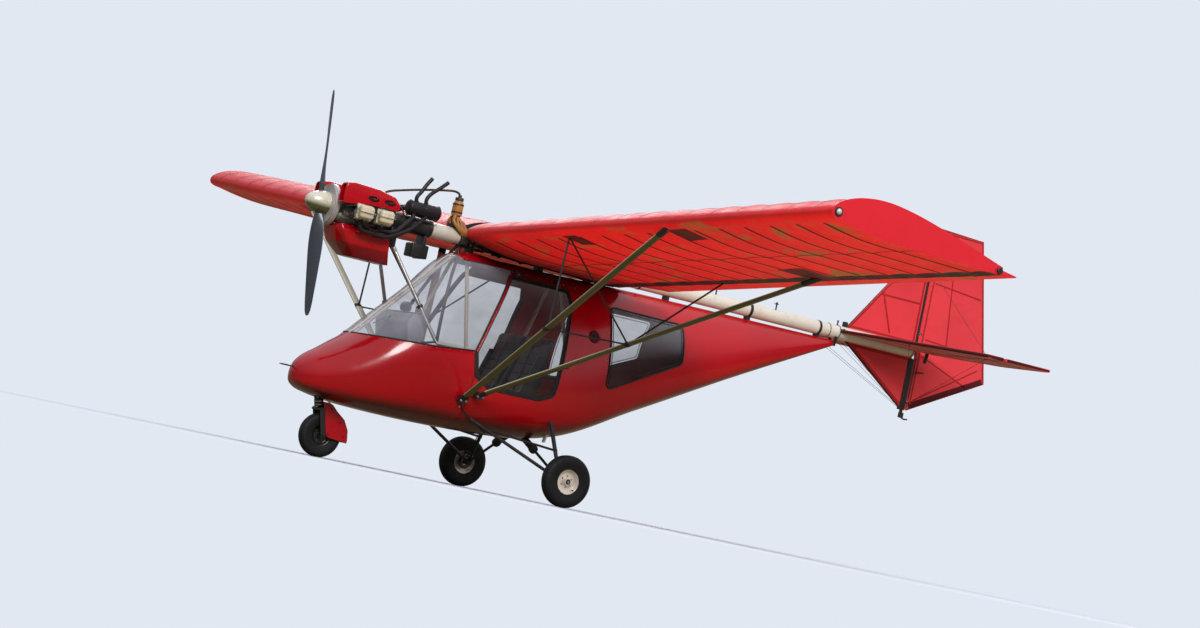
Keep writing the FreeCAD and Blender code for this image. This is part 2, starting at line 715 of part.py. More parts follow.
def build_propeller():
    bore = SHAFT_R + RUNNING_FIT
    disc = hollow_rod(at(FLANGE_FACE, 0, 0), at(FLANGE_FACE + 14, 0, 0), RING_R, RING_R - bore)
    rim_ring = hollow_rod(at(FLANGE_FACE + 14, 0, 0), at(FLANGE_FACE + 14 - RING_DEEP, 0, 0), RING_R, 10)
    blade = propeller_blade()
    other = blade.copy()
    other.rotate(at(0, 0, 0), V(1, 0, 0), 180)
    base = at(FLANGE_FACE + 14, 0, 0)
    hub = rod(base, at(PROP_X + 32, 0, 0), 46)
    hub = hub.cut(rod(at(FLANGE_FACE, 0, 0), at(FLANGE_FACE + 40, 0, 0), SHAFT_R + RUNNING_FIT))
    save("propeller_hub", outside(fuse([hub, disc, rim_ring]), blade, other))
    rows = [(SPINNER_R, 0), (SPINNER_R * 0.93, 34), (SPINNER_R * 0.76, 80), (SPINNER_R * 0.52, 122),
            (SPINNER_R * 0.24, 156), (3, SPINNER_TIP - FLANGE_FACE - 14)]
    spinner = turned(base, V(1, 0, 0), rows, 28)
    save("spinner", outside(spinner, rod(base, at(PROP_X + 32, 0, 0), 46), blade, other))
    save("propeller_blades", blade, other)


def propeller_blade():
    rows = [(20, 50, 44, 60), (150, 92, 30, 46), (300, 126, 22, 31), (520, 118, 15, 21),
            (800, 78, 8, 13), (PROP_TIP_R, 30, 4, 11)]
    outline = [(0.5, 0.0), (0.30, 0.42), (-0.05, 0.5), (-0.5, 0.0), (-0.05, -0.42), (0.30, -0.42)]
    rings = []
    for radius, chord, thick, pitch in rows:
        turn = math.radians(90 - pitch)
        corners = []
        for a, b in outline:
            along = a * chord * math.cos(turn) - b * thick * math.sin(turn)
            across = a * chord * math.sin(turn) + b * thick * math.cos(turn)
            corners.append(at(PROP_X - 4 + along, across, radius))
        rings.append(corners)
    blade = bridged(rings, flat=False)
    blade.rotate(at(0, 0, 0), V(1, 0, 0), PROP_LEAN)
    return blade


def tyre(centre, outer, width, rim):
    """Balloon tyre with a rounded tread and bulging walls."""
    half = width / 2
    side = [(rim + 2, half * 0.62), (outer * 0.68, half * 0.95), (outer * 0.84, half),
            (outer * 0.95, half * 0.72), (outer, half * 0.34)]
    rows = side + [(r, -y) for r, y in reversed(side)]
    hole = Part.makeCylinder(rim, 2 * width, centre - V(0, width, 0), V(0, 1, 0))
    return turned(centre, V(0, 1, 0), rows, WHEEL_SIDES).cut(hole)


def rim(centre, radius, width, bore):
    """Dished rim with a hub tube that turns on the axle."""
    half = width * 0.30
    disc = Part.makeCylinder(radius, 2 * half, centre - V(0, half, 0), V(0, 1, 0))
    for side in (1, -1):
        rows = [(radius - 8, side * (half + 1)), (radius * 0.80, side * half * 0.4),
                (radius * 0.74, side * half * 0.3)]
        if side < 0:
            rows.reverse()
        disc = disc.cut(turned(centre, V(0, 1, 0), rows, RIM_SIDES))
    hub = Part.makeCylinder(bore + 14, 2.3 * half, centre - V(0, 1.15 * half, 0), V(0, 1, 0))
    hole = Part.makeCylinder(bore, 4 * half, centre - V(0, 2 * half, 0), V(0, 1, 0))
    return disc.fuse(hub).cut(hole)


MAIN_HUB = at(MAIN_X, MAIN_Y, MAIN_R - BOOM_Z)
NOSE_HUB = at(NOSE_X, 0, NOSE_R - BOOM_Z)


def build_wheels():
    for name, centre in (("port", MAIN_HUB), ("starboard", V(MAIN_HUB.x, -MAIN_HUB.y, MAIN_HUB.z))):
        save("main_tyre_" + name, tyre(centre, MAIN_R, MAIN_W, MAIN_RIM_R))
        save("main_rim_" + name, rim(centre, MAIN_RIM_R, MAIN_W, AXLE_R + RUNNING_FIT))
    save("nose_tyre", tyre(NOSE_HUB, NOSE_R, NOSE_W, NOSE_RIM_R))
    save("nose_rim", rim(NOSE_HUB, NOSE_RIM_R, NOSE_W, AXLE_R + RUNNING_FIT))


def build_gear():
    inner = MAIN_HUB + V(0, -92, 0)
    axle = rod(MAIN_HUB + V(0, -112, 0), MAIN_HUB + V(0, 36, 0), AXLE_R)
    leg_top = at(-815, 430, -1190)
    drag_top = at(-100, 430, -1340)
    leg = rod(leg_top, inner, 15)
    drag = rod(drag_top, inner, 13)
    brace = rod(drag_top + (inner - drag_top) * 0.20, leg_top + (inner - leg_top) * 0.55, 9)
    foot = at(-800, 60, -1370)
    way = inner - foot
    boot = rod(foot, foot + way * 0.34, 25)
    strut = rod(foot + way * 0.30, inner, 11)
    gear = outside(fuse([axle, leg, drag, brace, boot, strut]), POD_OUTER)
    save("main_gear", gear, outside(mirrored(gear), POD_OUTER))

    top = at(942, 0, -1396)
    way = (top - NOSE_HUB).normalize()
    crown = NOSE_HUB + way * (NOSE_R + 30)
    leg = streamlined(crown + way * 22, top, LEG_CHORD, LEG_THICK)
    leg = leg.cut(rod(crown, top, STEM_R + RUNNING_FIT))
    save("nose_leg", outside(leg, POD_OUTER))
    half = NOSE_W / 2 + 16
    legs = []
    for side in (1, -1):
        reach = V(0, side * half, 0)
        legs.append(streamlined(NOSE_HUB + reach - way * 20, crown + reach, 44, 14))
    bridge = streamlined(crown + V(0, -half - 7, 0), crown + V(0, half + 7, 0), 54, 30)
    pin = rod(NOSE_HUB + V(0, -half - 14, 0), NOSE_HUB + V(0, half + 14, 0), AXLE_R)
    stem = rod(crown, crown + way * 70, STEM_R)
    fork = outside(fuse(legs + [bridge, pin, stem]), POD_OUTER)
    save("nose_fork", fork)
    wall = NOSE_W / 2 + 8
    hub = (NOSE_X, NOSE_R - BOOM_Z)
    back = [(hub[0] - a, hub[1] + z) for a, z in GUARD_BACK]
    front = [(hub[0] - a, hub[1] + z) for a, z in GUARD_FRONT]
    inner = [(hub[0] - a + 4, hub[1] + z - 2) for a, z in GUARD_BACK]
    inner[0] = (inner[0][0] + 60, inner[0][1] + 40)
    guard = side_prism(back + front, -wall - 4, wall + 4)
    guard = guard.cut(side_prism(inner + [(inner[-1][0], -1900), (1100, -1900)], -wall, wall))
    save("nose_mudguard", outside(guard, fork, rod(crown + way * 6, top, LEG_CHORD / 2 + 6)))


def nose_strip(start, end, half):
    """Chamfered leading edge along the hinge line of a tail surface."""
    way = end - start
    side = way.cross(V(1, 0, 0)).normalize() * half
    corners = [start + side, start + side * 0.62 + V(half * 0.78, 0, 0), start + V(half, 0, 0),
               start - side * 0.62 + V(half * 0.78, 0, 0), start - side]
    return Part.Face(Part.makePolygon(corners + [corners[0]])).extrude(way)


def build_tail():
    post = rod(at(TAIL_POST_X, 0, -528), at(TAIL_POST_X, 0, 1050), TAIL_POST_R)
    post = post.cut(BOOM_SOLID)
    skid = block(TAIL_POST_X - 30, TAIL_POST_X + 18, -9, 9, -566, -520)
    post_front = TAIL_POST_X + TAIL_POST_R
    fin = [at(-3675, 0, 40), at(-4170, 0, 700), at(-4372, 0, 1046), at(TAIL_POST_X, 0, 1046),
           at(TAIL_POST_X, 0, 40)]
    fin = flat_surface(fin, TAIL_THICK).cut(BOOM_SOLID)
    ventral = [at(-3690, 0, -40), at(TAIL_POST_X, 0, -40), at(TAIL_POST_X, 0, -500)]
    ventral = flat_surface(ventral, TAIL_THICK).cut(BOOM_SOLID)
    tail_plug = rod(at(BOOM_REAR, 0, 0), at(BOOM_REAR - 8, 0, 0), BOOM_R)
    tie_down = at(TIE_DOWN_X, -20, TIE_DOWN_Z)
    skid = skid.cut(rod(tie_down, tie_down + V(0, 40, 0), TIE_DOWN_R))
    post = fuse([post, skid, tail_plug])
    fin = outside(fin, post)
    ventral = outside(ventral, post)
    save("fins", fin, ventral)

    hinge_x = RUDDER_HINGE_X
    half = TAIL_THICK / 2 - 1
    rudder = [at(hinge_x, 0, 1056), at(-4905, 0, 1048), at(-5199, 0, -128), at(hinge_x, 0, -492)]
    rudder = flat_surface(rudder, 2 * half).fuse(nose_strip(at(hinge_x, 0, -492), at(hinge_x, 0, 1056), half))
    lugs = []
    for z in (-430, 150, 620, 980):
        point = at(hinge_x, 0, z)
        root = at(TAIL_POST_X, 0, z)
        lugs.append(hinge_lug(point, V(0, 0, 1), root, LUG_WIDTH, 8).cut(post))
        rudder = rudder.cut(hinge_notch(point, V(0, 0, 1), V(1, 0, 0), LUG_WIDTH, half + 5))
    save("rudder", outside(rudder))
    save("tail_post", outside(post.multiFuse(lugs), fin, ventral))

    z = STABILISER_Z
    tip = 1210
    root_x = -4412
    stab = [at(-3600, 40, z), at(-4250, tip, z), at(root_x, tip, z), at(root_x, 40, z)]
    stab = flat_surface(stab, TAIL_THICK).cut(BOOM_SOLID).cut(post).cut(fin)
    stab = outside(stab)
    save("stabiliser", *both(stab))
    hinge_x = ELEVATOR_HINGE_X
    elevator = [at(hinge_x, 78, z), at(hinge_x, tip, z), at(-4895, tip, z), at(-4868, 660, z),
                at(hinge_x - 60, 84, z)]
    elevator = flat_surface(elevator, 2 * half)
    elevator = elevator.fuse(nose_strip(at(hinge_x, 78, z), at(hinge_x, tip, z), half))
    lugs = []
    for y in (160, 640, 1120):
        point = at(hinge_x, y, z)
        root = at(root_x, y, z)
        lugs.append(hinge_lug(point, V(0, 1, 0), root, LUG_WIDTH, 8))
        elevator = elevator.cut(hinge_notch(point, V(0, 1, 0), V(1, 0, 0), LUG_WIDTH, half + 5))
    elevator = outside(elevator)
    save("elevator_port", elevator)
    save("elevator_starboard", mirrored(elevator))
    save("elevator_hinges", *(lugs + [mirrored(lug) for lug in lugs]))


def cabin_tubes():
    struts = both(rod(ENGINE_STRUT[0], ENGINE_STRUT[1], ENGINE_STRUT_R))
    line = Part.makeLine(*ENGINE_STRUT).common(POD_OUTER)
    entry = max(line.Vertexes, key=lambda vertex: vertex.Z).Point
    way = (ENGINE_STRUT[1] - ENGINE_STRUT[0]).normalize()
    grommets = both(hollow_rod(entry - way * 9, entry + way * 11, ENGINE_STRUT_R + 9, 9))
    tubes = []
    for side in (1, -1):
        corner = at(52, side * 482, -850)
        tubes.append(rod(at(-8, side * 50, -66), corner, 14))
        tubes.append(rod(corner, at(0, side * 470, -1300), 14))
        tubes.append(rod(corner, ENGINE_STRUT[1] if side > 0 else mirrored_point(ENGINE_STRUT[1]), 14))
        tubes.append(Part.makeSphere(15, corner))
        tubes.append(rod(at(-880, side * 30, -80), at(-880, side * 462, -900), 14))
        tubes.append(rod(at(-880, side * 462, -900), at(-880, side * 300, -1420), 14))
    tubes.append(rod(at(-880, 462, -900), at(-880, -462, -900), 14))
    frame = fuse(tubes).common(POD_INNER)
    for strut in struts:
        frame = frame.cut(strut)
    struts = [max(strut.Solids, key=lambda solid: solid.Volume) for strut in struts]
    return frame, struts, grommets


def mirrored_point(point):
    return V(point.x, -point.y, point.z)


def build_interior():
    """Floor with the seat boxes on it, two bucket seats, the instrument pod and the control stick."""
    floor = block(700, -1000, -420, 420, -1392, -1382)
    stands = []
    for side, name in ((1, "port"), (-1, "starboard")):
        middle = side * SEAT_Y
        profile = [(-130, -1282), (-118, -1240), (-150, SEAT_TOP_Z), (-520, SEAT_TOP_Z), (-562, -1150),
                   (-690, -690), (-700, -640), (-725, -618), (-752, -630), (-700, -1010),
                   (-668, -1180), (-620, -1282)]
        body = side_prism(profile, middle - SEAT_HALF, middle + SEAT_HALF)
        bolsters = []
        for edge in (-1, 1):
            outer = middle + edge * SEAT_HALF
            inner = middle + edge * (SEAT_HALF - 34)
            low, high = sorted((outer, inner))
            bolster = [(-180, -1260), (-190, -1178), (-475, -1174), (-545, -1030), (-640, -760),
                       (-716, -760), (-660, -1180), (-620, -1260)]
            bolsters.append(side_prism(bolster, low, high))
        stands.append(block(-180, -580, middle - 145, middle + 145, -1390, -1282))
        seat = fuse([body] + bolsters)
        for other in stands + [CABIN[0]]:
            seat = seat.cut(other)
        save("seat_" + name, outside(seat))
    floor = fuse([floor] + stands).common(POD_INNER)
    save("cabin_floor", outside(floor, CABIN[0]))
    profile = [(300, -880), (300, -700), (400, -660), (470, -740), (440, -880)]
    pod = side_prism(profile, -270, 270)
    column = block(360, 430, -60, 60, -1382, -880)
    save("instrument_pod", fuse([pod, column]))
    grip = rod(at(70, 0, -1382), at(20, 0, -980), 13)
    handle = rod(at(20, 0, -980), at(5, 0, -860), 19)
    save("control_stick", outside(fuse([grip, handle]), floor))


POD_OUTER = pod_solid(0)
POD_INNER = pod_solid(SKIN)
BOOM_SOLID = rod(at(BOOM_FRONT, 0, 0), at(BOOM_REAR, 0, 0), BOOM_R)
WING = Part.makeLoft([wing_section(ROOT_Y), wing_section(HALF_SPAN)], True, True)
CABIN = cabin_tubes()

build_boom()
build_hangers()
build_pod()
build_wing()
build_struts()
build_engine()
build_propeller()
build_wheels()
build_gear()
build_tail()
build_interior()
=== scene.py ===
import bmesh
import bpy
import json
import math
import numpy as np
from mathutils import Matrix, Vector

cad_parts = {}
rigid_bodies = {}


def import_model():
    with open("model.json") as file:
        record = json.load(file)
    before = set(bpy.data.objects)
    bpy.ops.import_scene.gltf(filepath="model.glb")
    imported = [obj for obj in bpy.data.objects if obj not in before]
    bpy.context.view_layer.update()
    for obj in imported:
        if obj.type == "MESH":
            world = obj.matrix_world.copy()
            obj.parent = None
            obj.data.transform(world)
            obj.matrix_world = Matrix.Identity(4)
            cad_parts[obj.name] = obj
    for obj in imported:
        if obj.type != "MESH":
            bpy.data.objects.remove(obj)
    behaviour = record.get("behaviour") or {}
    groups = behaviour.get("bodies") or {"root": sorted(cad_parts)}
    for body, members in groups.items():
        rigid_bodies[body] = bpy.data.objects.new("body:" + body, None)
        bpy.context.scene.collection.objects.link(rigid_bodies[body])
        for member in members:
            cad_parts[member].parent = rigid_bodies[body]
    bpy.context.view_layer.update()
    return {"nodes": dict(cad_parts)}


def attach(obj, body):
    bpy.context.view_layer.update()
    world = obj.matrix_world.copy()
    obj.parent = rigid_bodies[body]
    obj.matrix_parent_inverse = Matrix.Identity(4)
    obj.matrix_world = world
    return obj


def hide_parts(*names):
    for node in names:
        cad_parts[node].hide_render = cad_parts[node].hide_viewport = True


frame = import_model()
NODES = frame["nodes"]
scene = bpy.context.scene
scene.view_settings.view_transform = "Standard"

X, Y, Z = Vector((1, 0, 0)), Vector((0, 1, 0)), Vector((0, 0, 1))
SIDES = ((1, "port"), (-1, "starboard"))
ORIGIN_X, ORIGIN_Z = 1910, 1870


def at(x, y, z):
    """Place in millimetres: X forward of the wing's leading edge, Y to port, Z up from the boom's axis."""
    return Vector((ORIGIN_X + x, y, ORIGIN_Z + z))


# Camera: floor level, forward of the port beam, rolled as the photograph is. Scene places are in metres.
camera_data = bpy.data.cameras.new("camera")
camera_data.lens = 97.0
camera_data.sensor_width = 36.0
camera_data.clip_end = 200
camera = bpy.data.objects.new("camera", camera_data)
scene.collection.objects.link(camera)
scene.camera = camera
back = Vector((0.51758, 0.85363, -0.05855))
up = Vector((0.20325, -0.05619, 0.97751))
right = up.cross(back)
turn = Matrix((right, up, back)).transposed()
camera.matrix_world = Matrix.Translation((13.76, 21.74, 0.06)) @ turn.to_4x4()


# Finishes: paint, cloth, metal, rubber and clear sheet. Their scales and heights are in metres.


def rgb(r, g, b):
    """Linear colour from 0 to 255 display values."""
    out = []
    for value in (r, g, b):
        c = value / 255
        out.append(c / 12.92 if c <= 0.04045 else ((c + 0.055) / 1.055) ** 2.4)
    return (*out, 1.0)


def add_node(tree, kind, inputs=(), **settings):
    """Adds a shader node. Inputs are sockets to link or values to set."""
    node = tree.nodes.new(kind)
    for key, value in settings.items():
        setattr(node, key, value)
    for key, value in dict(inputs).items():
        if isinstance(value, bpy.types.NodeSocket):
            tree.links.new(value, node.inputs[key])
        else:
            node.inputs[key].default_value = value
    return node


class Finish:
    """A principled material with its texture nodes."""

    def __init__(self, name):
        self.material = bpy.data.materials.new(name)
        self.material.use_nodes = True
        self.tree = self.material.node_tree
        self.shader = self.tree.nodes["Principled BSDF"]
        self.place = self.add("ShaderNodeTexCoord").outputs["Object"]
        self.bumps = None
        self.shade = None

    def add(self, kind, inputs=(), **settings):
        return add_node(self.tree, kind, inputs, **settings)

    def set(self, **values):
        for key, value in values.items():
            self.shader.inputs[key.replace("_", " ")].default_value = value

    def link(self, socket, key):
        self.tree.links.new(socket, self.shader.inputs[key])

    def noise(self, scale, detail=3.0, rough=0.55, stretch=(1, 1, 1), distort=0.0):
        place = self.add("ShaderNodeMapping", {"Vector": self.place, "Scale": stretch}).outputs[0]
        return self.add("ShaderNodeTexNoise", {"Vector": place, "Scale": scale, "Detail": detail,
            "Roughness": rough, "Distortion": distort}).outputs["Fac"]

    def ramp(self, value, low, high, to_low=0.0, to_high=1.0):
        return self.add("ShaderNodeMapRange", {"Value": value, "From Min": low, "From Max": high,
            "To Min": to_low, "To Max": to_high}).outputs[0]

    def math(self, operation, a, b):
        return self.add("ShaderNodeMath", {0: a, 1: b}, operation=operation).outputs[0]

    def times(self, a, b):
        return self.math("MULTIPLY", a, b)

    def mix(self, factor, a, b):
        return self.add("ShaderNodeMix", {0: factor, 6: a, 7: b}, data_type="RGBA").outputs[2]

    def tint(self, factor, colour):
        """Lays a colour over what the surface has so far."""
        self.shade = self.mix(factor, self.shade, rgb(*colour))
        self.link(self.shade, "Base Color")

    def bump(self, height, distance, strength=1.0):
        node = self.add("ShaderNodeBump", {"Height": height, "Distance": distance, "Strength": strength})
        if self.bumps:
            self.tree.links.new(self.bumps, node.inputs["Normal"])
        self.bumps = node.outputs[0]
        self.link(self.bumps, "Normal")

    def facing(self, axis):
        """How far the surface faces along an axis of the part, from -1 to 1."""
        normal = self.add("ShaderNodeNewGeometry").outputs["Normal"]
        return self.add("ShaderNodeSeparateXYZ", {0: normal}).outputs[axis]

    def position(self, axis):
        return self.add("ShaderNodeSeparateXYZ", {0: self.place}).outputs[axis]


def painted(name, colour, other, rough=0.3, coat=0.0, patch=1.2, dirt=(60, 45, 35), dirt_share=0.35,
        grain=0.0004, metallic=0.0, dirt_low=0.56, sheen=0.0):
    """Paint or plastic with slow colour variation, grime and a fine surface."""
    finish = Finish(name)
    finish.shade = finish.mix(finish.ramp(finish.noise(patch, 4), 0.35, 0.68), rgb(*colour), rgb(*other))
    finish.tint(finish.ramp(finish.noise(patch * 5, 9, 0.72), dirt_low, dirt_low + 0.22, 0, dirt_share), dirt)
    finish.link(finish.ramp(finish.noise(patch * 8, 6, 0.7), 0.3, 0.75, rough * 0.75, min(1, rough * 1.45)),
        "Roughness")
    finish.set(Metallic=metallic, Coat_Weight=coat, Coat_Roughness=0.06, Sheen_Weight=sheen)
    finish.bump(finish.noise(420, 2), grain)
    return finish


def gloss_red():
    """Deep gloss paint with grime; painted shade on top faces under the wing, and a painted reflection of the
    ground, olive-brown, where it faces down.
    """
    finish = painted("gloss_red", (180, 2, 20), (160, 1, 15), 0.18, coat=0.3, patch=0.8, dirt=(95, 20, 18),
        dirt_share=0.25, grain=0.00005, dirt_low=0.62)
    # Painted reflection of the ground: faces turned down go olive-brown, mottled.
    ground_reflection = finish.times(finish.ramp(finish.facing(2), -0.25, -0.85, 0, 0.82),
        finish.ramp(finish.noise(3, 6, 0.6), 0.25, 0.6, 0.7, 1))
    # Painted shade of the wing: top faces of the pod beneath it go dark crimson.
    wing_shadow = finish.times(finish.ramp(finish.position(0), 0.6, 1.5, 0, 0.75),
        finish.ramp(finish.position(0), 1.85, 1.95, 1, 0))
    finish.tint(finish.times(wing_shadow, finish.ramp(finish.facing(2), 0.05, 0.6)), (84, 3, 12))
    finish.tint(ground_reflection, (54, 30, 20))
    finish.set(Specular_IOR_Level=0.3)
    finish.bump(finish.noise(14, 2), 0.0006)
    return finish


def fabric(name, colour, other, stains=0.0, dirt_share=0.2, sheen=0.1, painted_light_tint=None, glow=0.0):
    """Doped polyester cloth: weave, soft gloss and stains, with painted light: a tint on faces turned up or
    sideways, a glow given off to camera rays in place of daylight seen through it, and painted shade under
    the cloth near the root.
    """
    finish = Finish(name)
    finish.shade = finish.mix(finish.ramp(finish.noise(0.9, 3), 0.36, 0.66), rgb(*colour), rgb(*other))
    streaks = finish.noise(2.2, 7, 0.7, stretch=(0.5, 3.2, 1))
    finish.tint(finish.ramp(streaks, 0.52, 0.78, 0, dirt_share), (92, 26, 18))
    under = finish.ramp(finish.facing(2), -0.2, -0.7)
    if stains:
        blot = finish.ramp(finish.noise(2.6, 8, 0.62, stretch=(1.5, 1, 1), distort=0.6), 0.57, 0.66, 0,
            stains)
        finish.tint(finish.times(blot, under), (112, 84, 34))
    if painted_light_tint:
        # Painted light: faces turned up or sideways take a pinker tint, standing in for the light falling on
        # them.
        sideways = finish.ramp(finish.math("ABSOLUTE", finish.facing(1), 0), 0.5, 0.9)
        finish.tint(finish.math("MAXIMUM", finish.ramp(finish.facing(2), 0.2, 0.75), sideways), painted_light_tint)
    if glow:
        # Painted shade: the underside near the wing root darkens to brown, mottled, where the wing meets the
        # pod.
        root = finish.ramp(finish.math("ABSOLUTE", finish.position(1), 0), 0.1, 0.55, 0.92, 0)
        root_shade = finish.times(root, finish.ramp(finish.noise(4, 6, 0.6, stretch=(1, 3, 1)), 0.2, 0.6, 0.6, 1))
        finish.tint(finish.times(root_shade, under), (34, 14, 12))
        # Painted glow: the underside gives off its own colour to camera rays only, weaker on the starboard
        # wing, standing in for daylight seen through the cloth.
        finish.link(finish.shade, "Emission Color")
        seen = finish.add("ShaderNodeLightPath").outputs["Is Camera Ray"]
        light = finish.times(finish.ramp(finish.position(1), -1.5, 1.5, glow * 0.3, glow), under)
        finish.link(finish.times(light, seen), "Emission Strength")
    finish.link(finish.ramp(finish.noise(7, 5), 0.3, 0.7, 0.42, 0.6), "Roughness")
    finish.set(Sheen_Weight=sheen, Sheen_Roughness=0.4, Specular_IOR_Level=0.22)
    threads = [finish.add("ShaderNodeTexWave", {"Vector": finish.place, "Scale": 130.0, "Distortion": 0.4},
        bands_direction=axis).outputs["Fac"] for axis in ("X", "Y")]
    finish.bump(finish.times(*threads), 0.00025, 0.6)
    finish.bump(finish.noise(5, 3, stretch=(1, 2.5, 1)), 0.0035, 0.7)
    return finish


def metal(name, colour, rough=0.35, dirt=(50, 45, 38), dirt_share=0.4, patch=3.0, metallic=0.9, grain=0.0002):
    return painted(name, colour, [c * 0.86 for c in colour], rough, patch=patch, dirt=dirt,
        dirt_share=dirt_share, metallic=metallic, grain=grain)


def strut_metal():
    """Olive tube, pale along its top where a painted highlight stands for the sky's light on it."""
    finish = painted("strut_metal", (108, 104, 58), (94, 90, 50), 0.36, patch=2.0, dirt=(66, 60, 34),
        dirt_share=0.4, metallic=0.2)
    # Painted highlight: faces turned up go pale.
    finish.tint(finish.ramp(finish.facing(2), -0.12, 0.22), (206, 204, 184))
    return finish


def spinner_paint():
    """Polished cone, pale above, with a painted reflection of the ground, olive, where it faces down."""
    finish = painted("spinner_paint", (226, 218, 200), (214, 206, 186), 0.26, coat=0.5, patch=4,
        dirt=(110, 100, 80), metallic=0.15)
    # Painted reflection of the ground on faces turned down.
    finish.tint(finish.ramp(finish.facing(2), -0.05, -0.45), (88, 92, 52))
    return finish


def rubber():
    finish = painted("tyre_rubber", (15, 16, 18), (22, 22, 23), 0.6, patch=6, dirt=(74, 68, 58),
        dirt_share=0.22, grain=0.0005)
    finish.set(Specular_IOR_Level=0.35)
    return finish


def perspex():
    """Clear sheet: a pale tint painted where it faces up, as the sky's reflection, smoky where it faces
    sideways, with a faint random haze.
    """
    finish = Finish("perspex")
    # Painted reflection: faces turned up take a pale colour, standing in for the sky reflected in the sheet.
    up = finish.ramp(finish.facing(2), 0.15, 0.55)
    finish.link(finish.mix(up, rgb(30, 26, 26), rgb(206, 206, 218)), "Base Color")
    finish.set(Roughness=0.04, IOR=1.49, Coat_Weight=1.0, Coat_Roughness=0.02)
    haze = finish.ramp(finish.noise(2, 4, 0.6, stretch=(1, 1, 2)), 0.4, 0.8, 0.0, 0.1)
    edge = finish.add("ShaderNodeLayerWeight", {"Blend": 0.3}).outputs["Facing"]
    sheet = finish.math("ADD", finish.ramp(edge, 0.1, 0.9, 0.16, 0.5), haze)
    finish.link(finish.math("SUBTRACT", sheet, finish.times(up, 0.06)), "Alpha")
    finish.bump(finish.noise(3.5, 2), 0.0012)
    return finish


FINISHES = {
    "red": gloss_red(),
    # Black for the sheets that stand in for shade inside the cooling ducts.
    "shade_black": painted("painted_shade_black", (14, 13, 14), (22, 20, 20), 0.8, patch=6, dirt=(60, 52, 44),
                    dirt_share=0.25),
    "lead": painted("lead_rubber", (120, 24, 22), (96, 20, 20), 0.5, patch=8, dirt_share=0.4),
    "trim": painted("rubber_trim", (24, 22, 24), (32, 30, 32), 0.6, patch=8, dirt=(90, 80, 72),
                    dirt_share=0.3, grain=0.0003),
    "hose": painted("oil_hose", (70, 52, 34), (56, 40, 26), 0.5, patch=9, dirt=(30, 22, 16), dirt_share=0.5),
    "pale": painted("pale_grey_paint", (196, 190, 190), (178, 172, 172), 0.36, coat=0.2, patch=5,
                    dirt=(92, 84, 78), dirt_share=0.5, metallic=0.2),
    "spinner": spinner_paint(),
    "seam": fabric("sewn_seam", (168, 34, 32), (146, 26, 26), dirt_share=0.5),
    "pad": painted("pad_cloth", (58, 58, 66), (70, 70, 76), 0.9, patch=10, dirt=(96, 92, 84), dirt_share=0.25,
                   grain=0.0009, sheen=0.4),
    "belt": painted("belt_webbing", (34, 36, 44), (46, 48, 56), 0.8, patch=12, dirt_share=0.2, grain=0.0008),
    "wing": fabric("wing_fabric", (214, 20, 18), (196, 16, 17), stains=0.85, painted_light_tint=(204, 26, 40), glow=0.75),
    "tail": fabric("tail_fabric", (222, 60, 68), (202, 50, 58), dirt_share=0.35, sheen=0.3),
    # Dark tape; its darkness is also painted shade along the wing ribs, the aileron gap and the ventral fin's
    # edge.
    "tape_and_shade": fabric("tape_and_painted_shade", (82, 8, 10), (70, 7, 10), dirt_share=0.5),
    "patch": fabric("patch_fabric", (150, 22, 22), (132, 20, 20), dirt_share=0.5),
    "cream": painted("cream_paint", (222, 212, 198), (208, 196, 182), coat=0.3, patch=2, dirt=(120, 104, 84),
                     dirt_share=0.4),
    "strut": strut_metal(),
    "silver": metal("silver_tube", (186, 184, 182), 0.32),
    "alloy": metal("cast_alloy", (168, 166, 160), 0.45, (70, 62, 50), 0.55, patch=7, grain=0.0008),
    "cover": painted("rocker_paint", (214, 200, 172), (198, 184, 156), 0.45, patch=8, dirt=(70, 58, 42),
                     dirt_share=0.7),
    "black": painted("black_paint", (26, 26, 28), (36, 35, 36), 0.42, patch=5, dirt=(96, 88, 76),
                     dirt_share=0.3),
    "pipe": metal("exhaust_metal", (46, 42, 44), 0.42, (112, 74, 52), 0.6, patch=6, metallic=0.6),
    "blade": painted("blade_finish", (44, 50, 58), (58, 64, 72), 0.34, coat=0.3, patch=3,
                     dirt=(120, 124, 128), dirt_share=0.25),
    "rubber": rubber(),
    "glass": perspex(),
    "seat": painted("seat_cloth", (42, 42, 48), (54, 53, 58), 0.85, patch=9, dirt=(80, 76, 70),
                    dirt_share=0.2, grain=0.0006, sheen=0.5),
    "grey": painted("grey_plastic", (150, 148, 158), (134, 132, 142), 0.55, patch=5, dirt_share=0.3),
    "amber": painted("amber_plastic", (176, 118, 44), (140, 88, 34), 0.35, patch=14, dirt=(62, 40, 20),
                     dirt_share=0.7),
    "steel": metal("dark_steel", (84, 80, 78), 0.4, (96, 60, 40), 0.5, patch=9),
}
M = {look: finish.material for look, finish in FINISHES.items()}
LOOKS = {
    "red": "nose_mudguard",
    "wing": "aileron_port aileron_starboard",
    "tail": "fins rudder stabiliser elevator_port elevator_starboard",
    "silver": "door_hinges",
    "black": "boom_fittings strut_fittings aileron_hinges elevator_hinges",
    "grey": "cabin_floor",
}


def paint(obj, look):
    obj.data.materials.clear()
    obj.data.materials.append(M[look])


for look, names in LOOKS.items():
    for node_name in names.split():
        paint(NODES[node_name], look)
SOFT_EDGED = "fins rudder strut_fittings nose_mudguard stabiliser elevator_port elevator_starboard"
for node_name in SOFT_EDGED.split():
    weld = NODES[node_name].modifiers.new("weld", "WELD")
    weld.merge_threshold = 0.0001
    bevel = NODES[node_name].modifiers.new("bevel", "BEVEL")
    bevel.width = 0.002 if node_name in ("strut_fittings", "nose_mudguard") else 0.006
    bevel.segments = 3
    bevel.limit_method = "ANGLE"
    bevel.angle_limit = math.radians(32)
    bevel.harden_normals = False


# Parts: each is a list of vertices in millimetres and a list of faces.


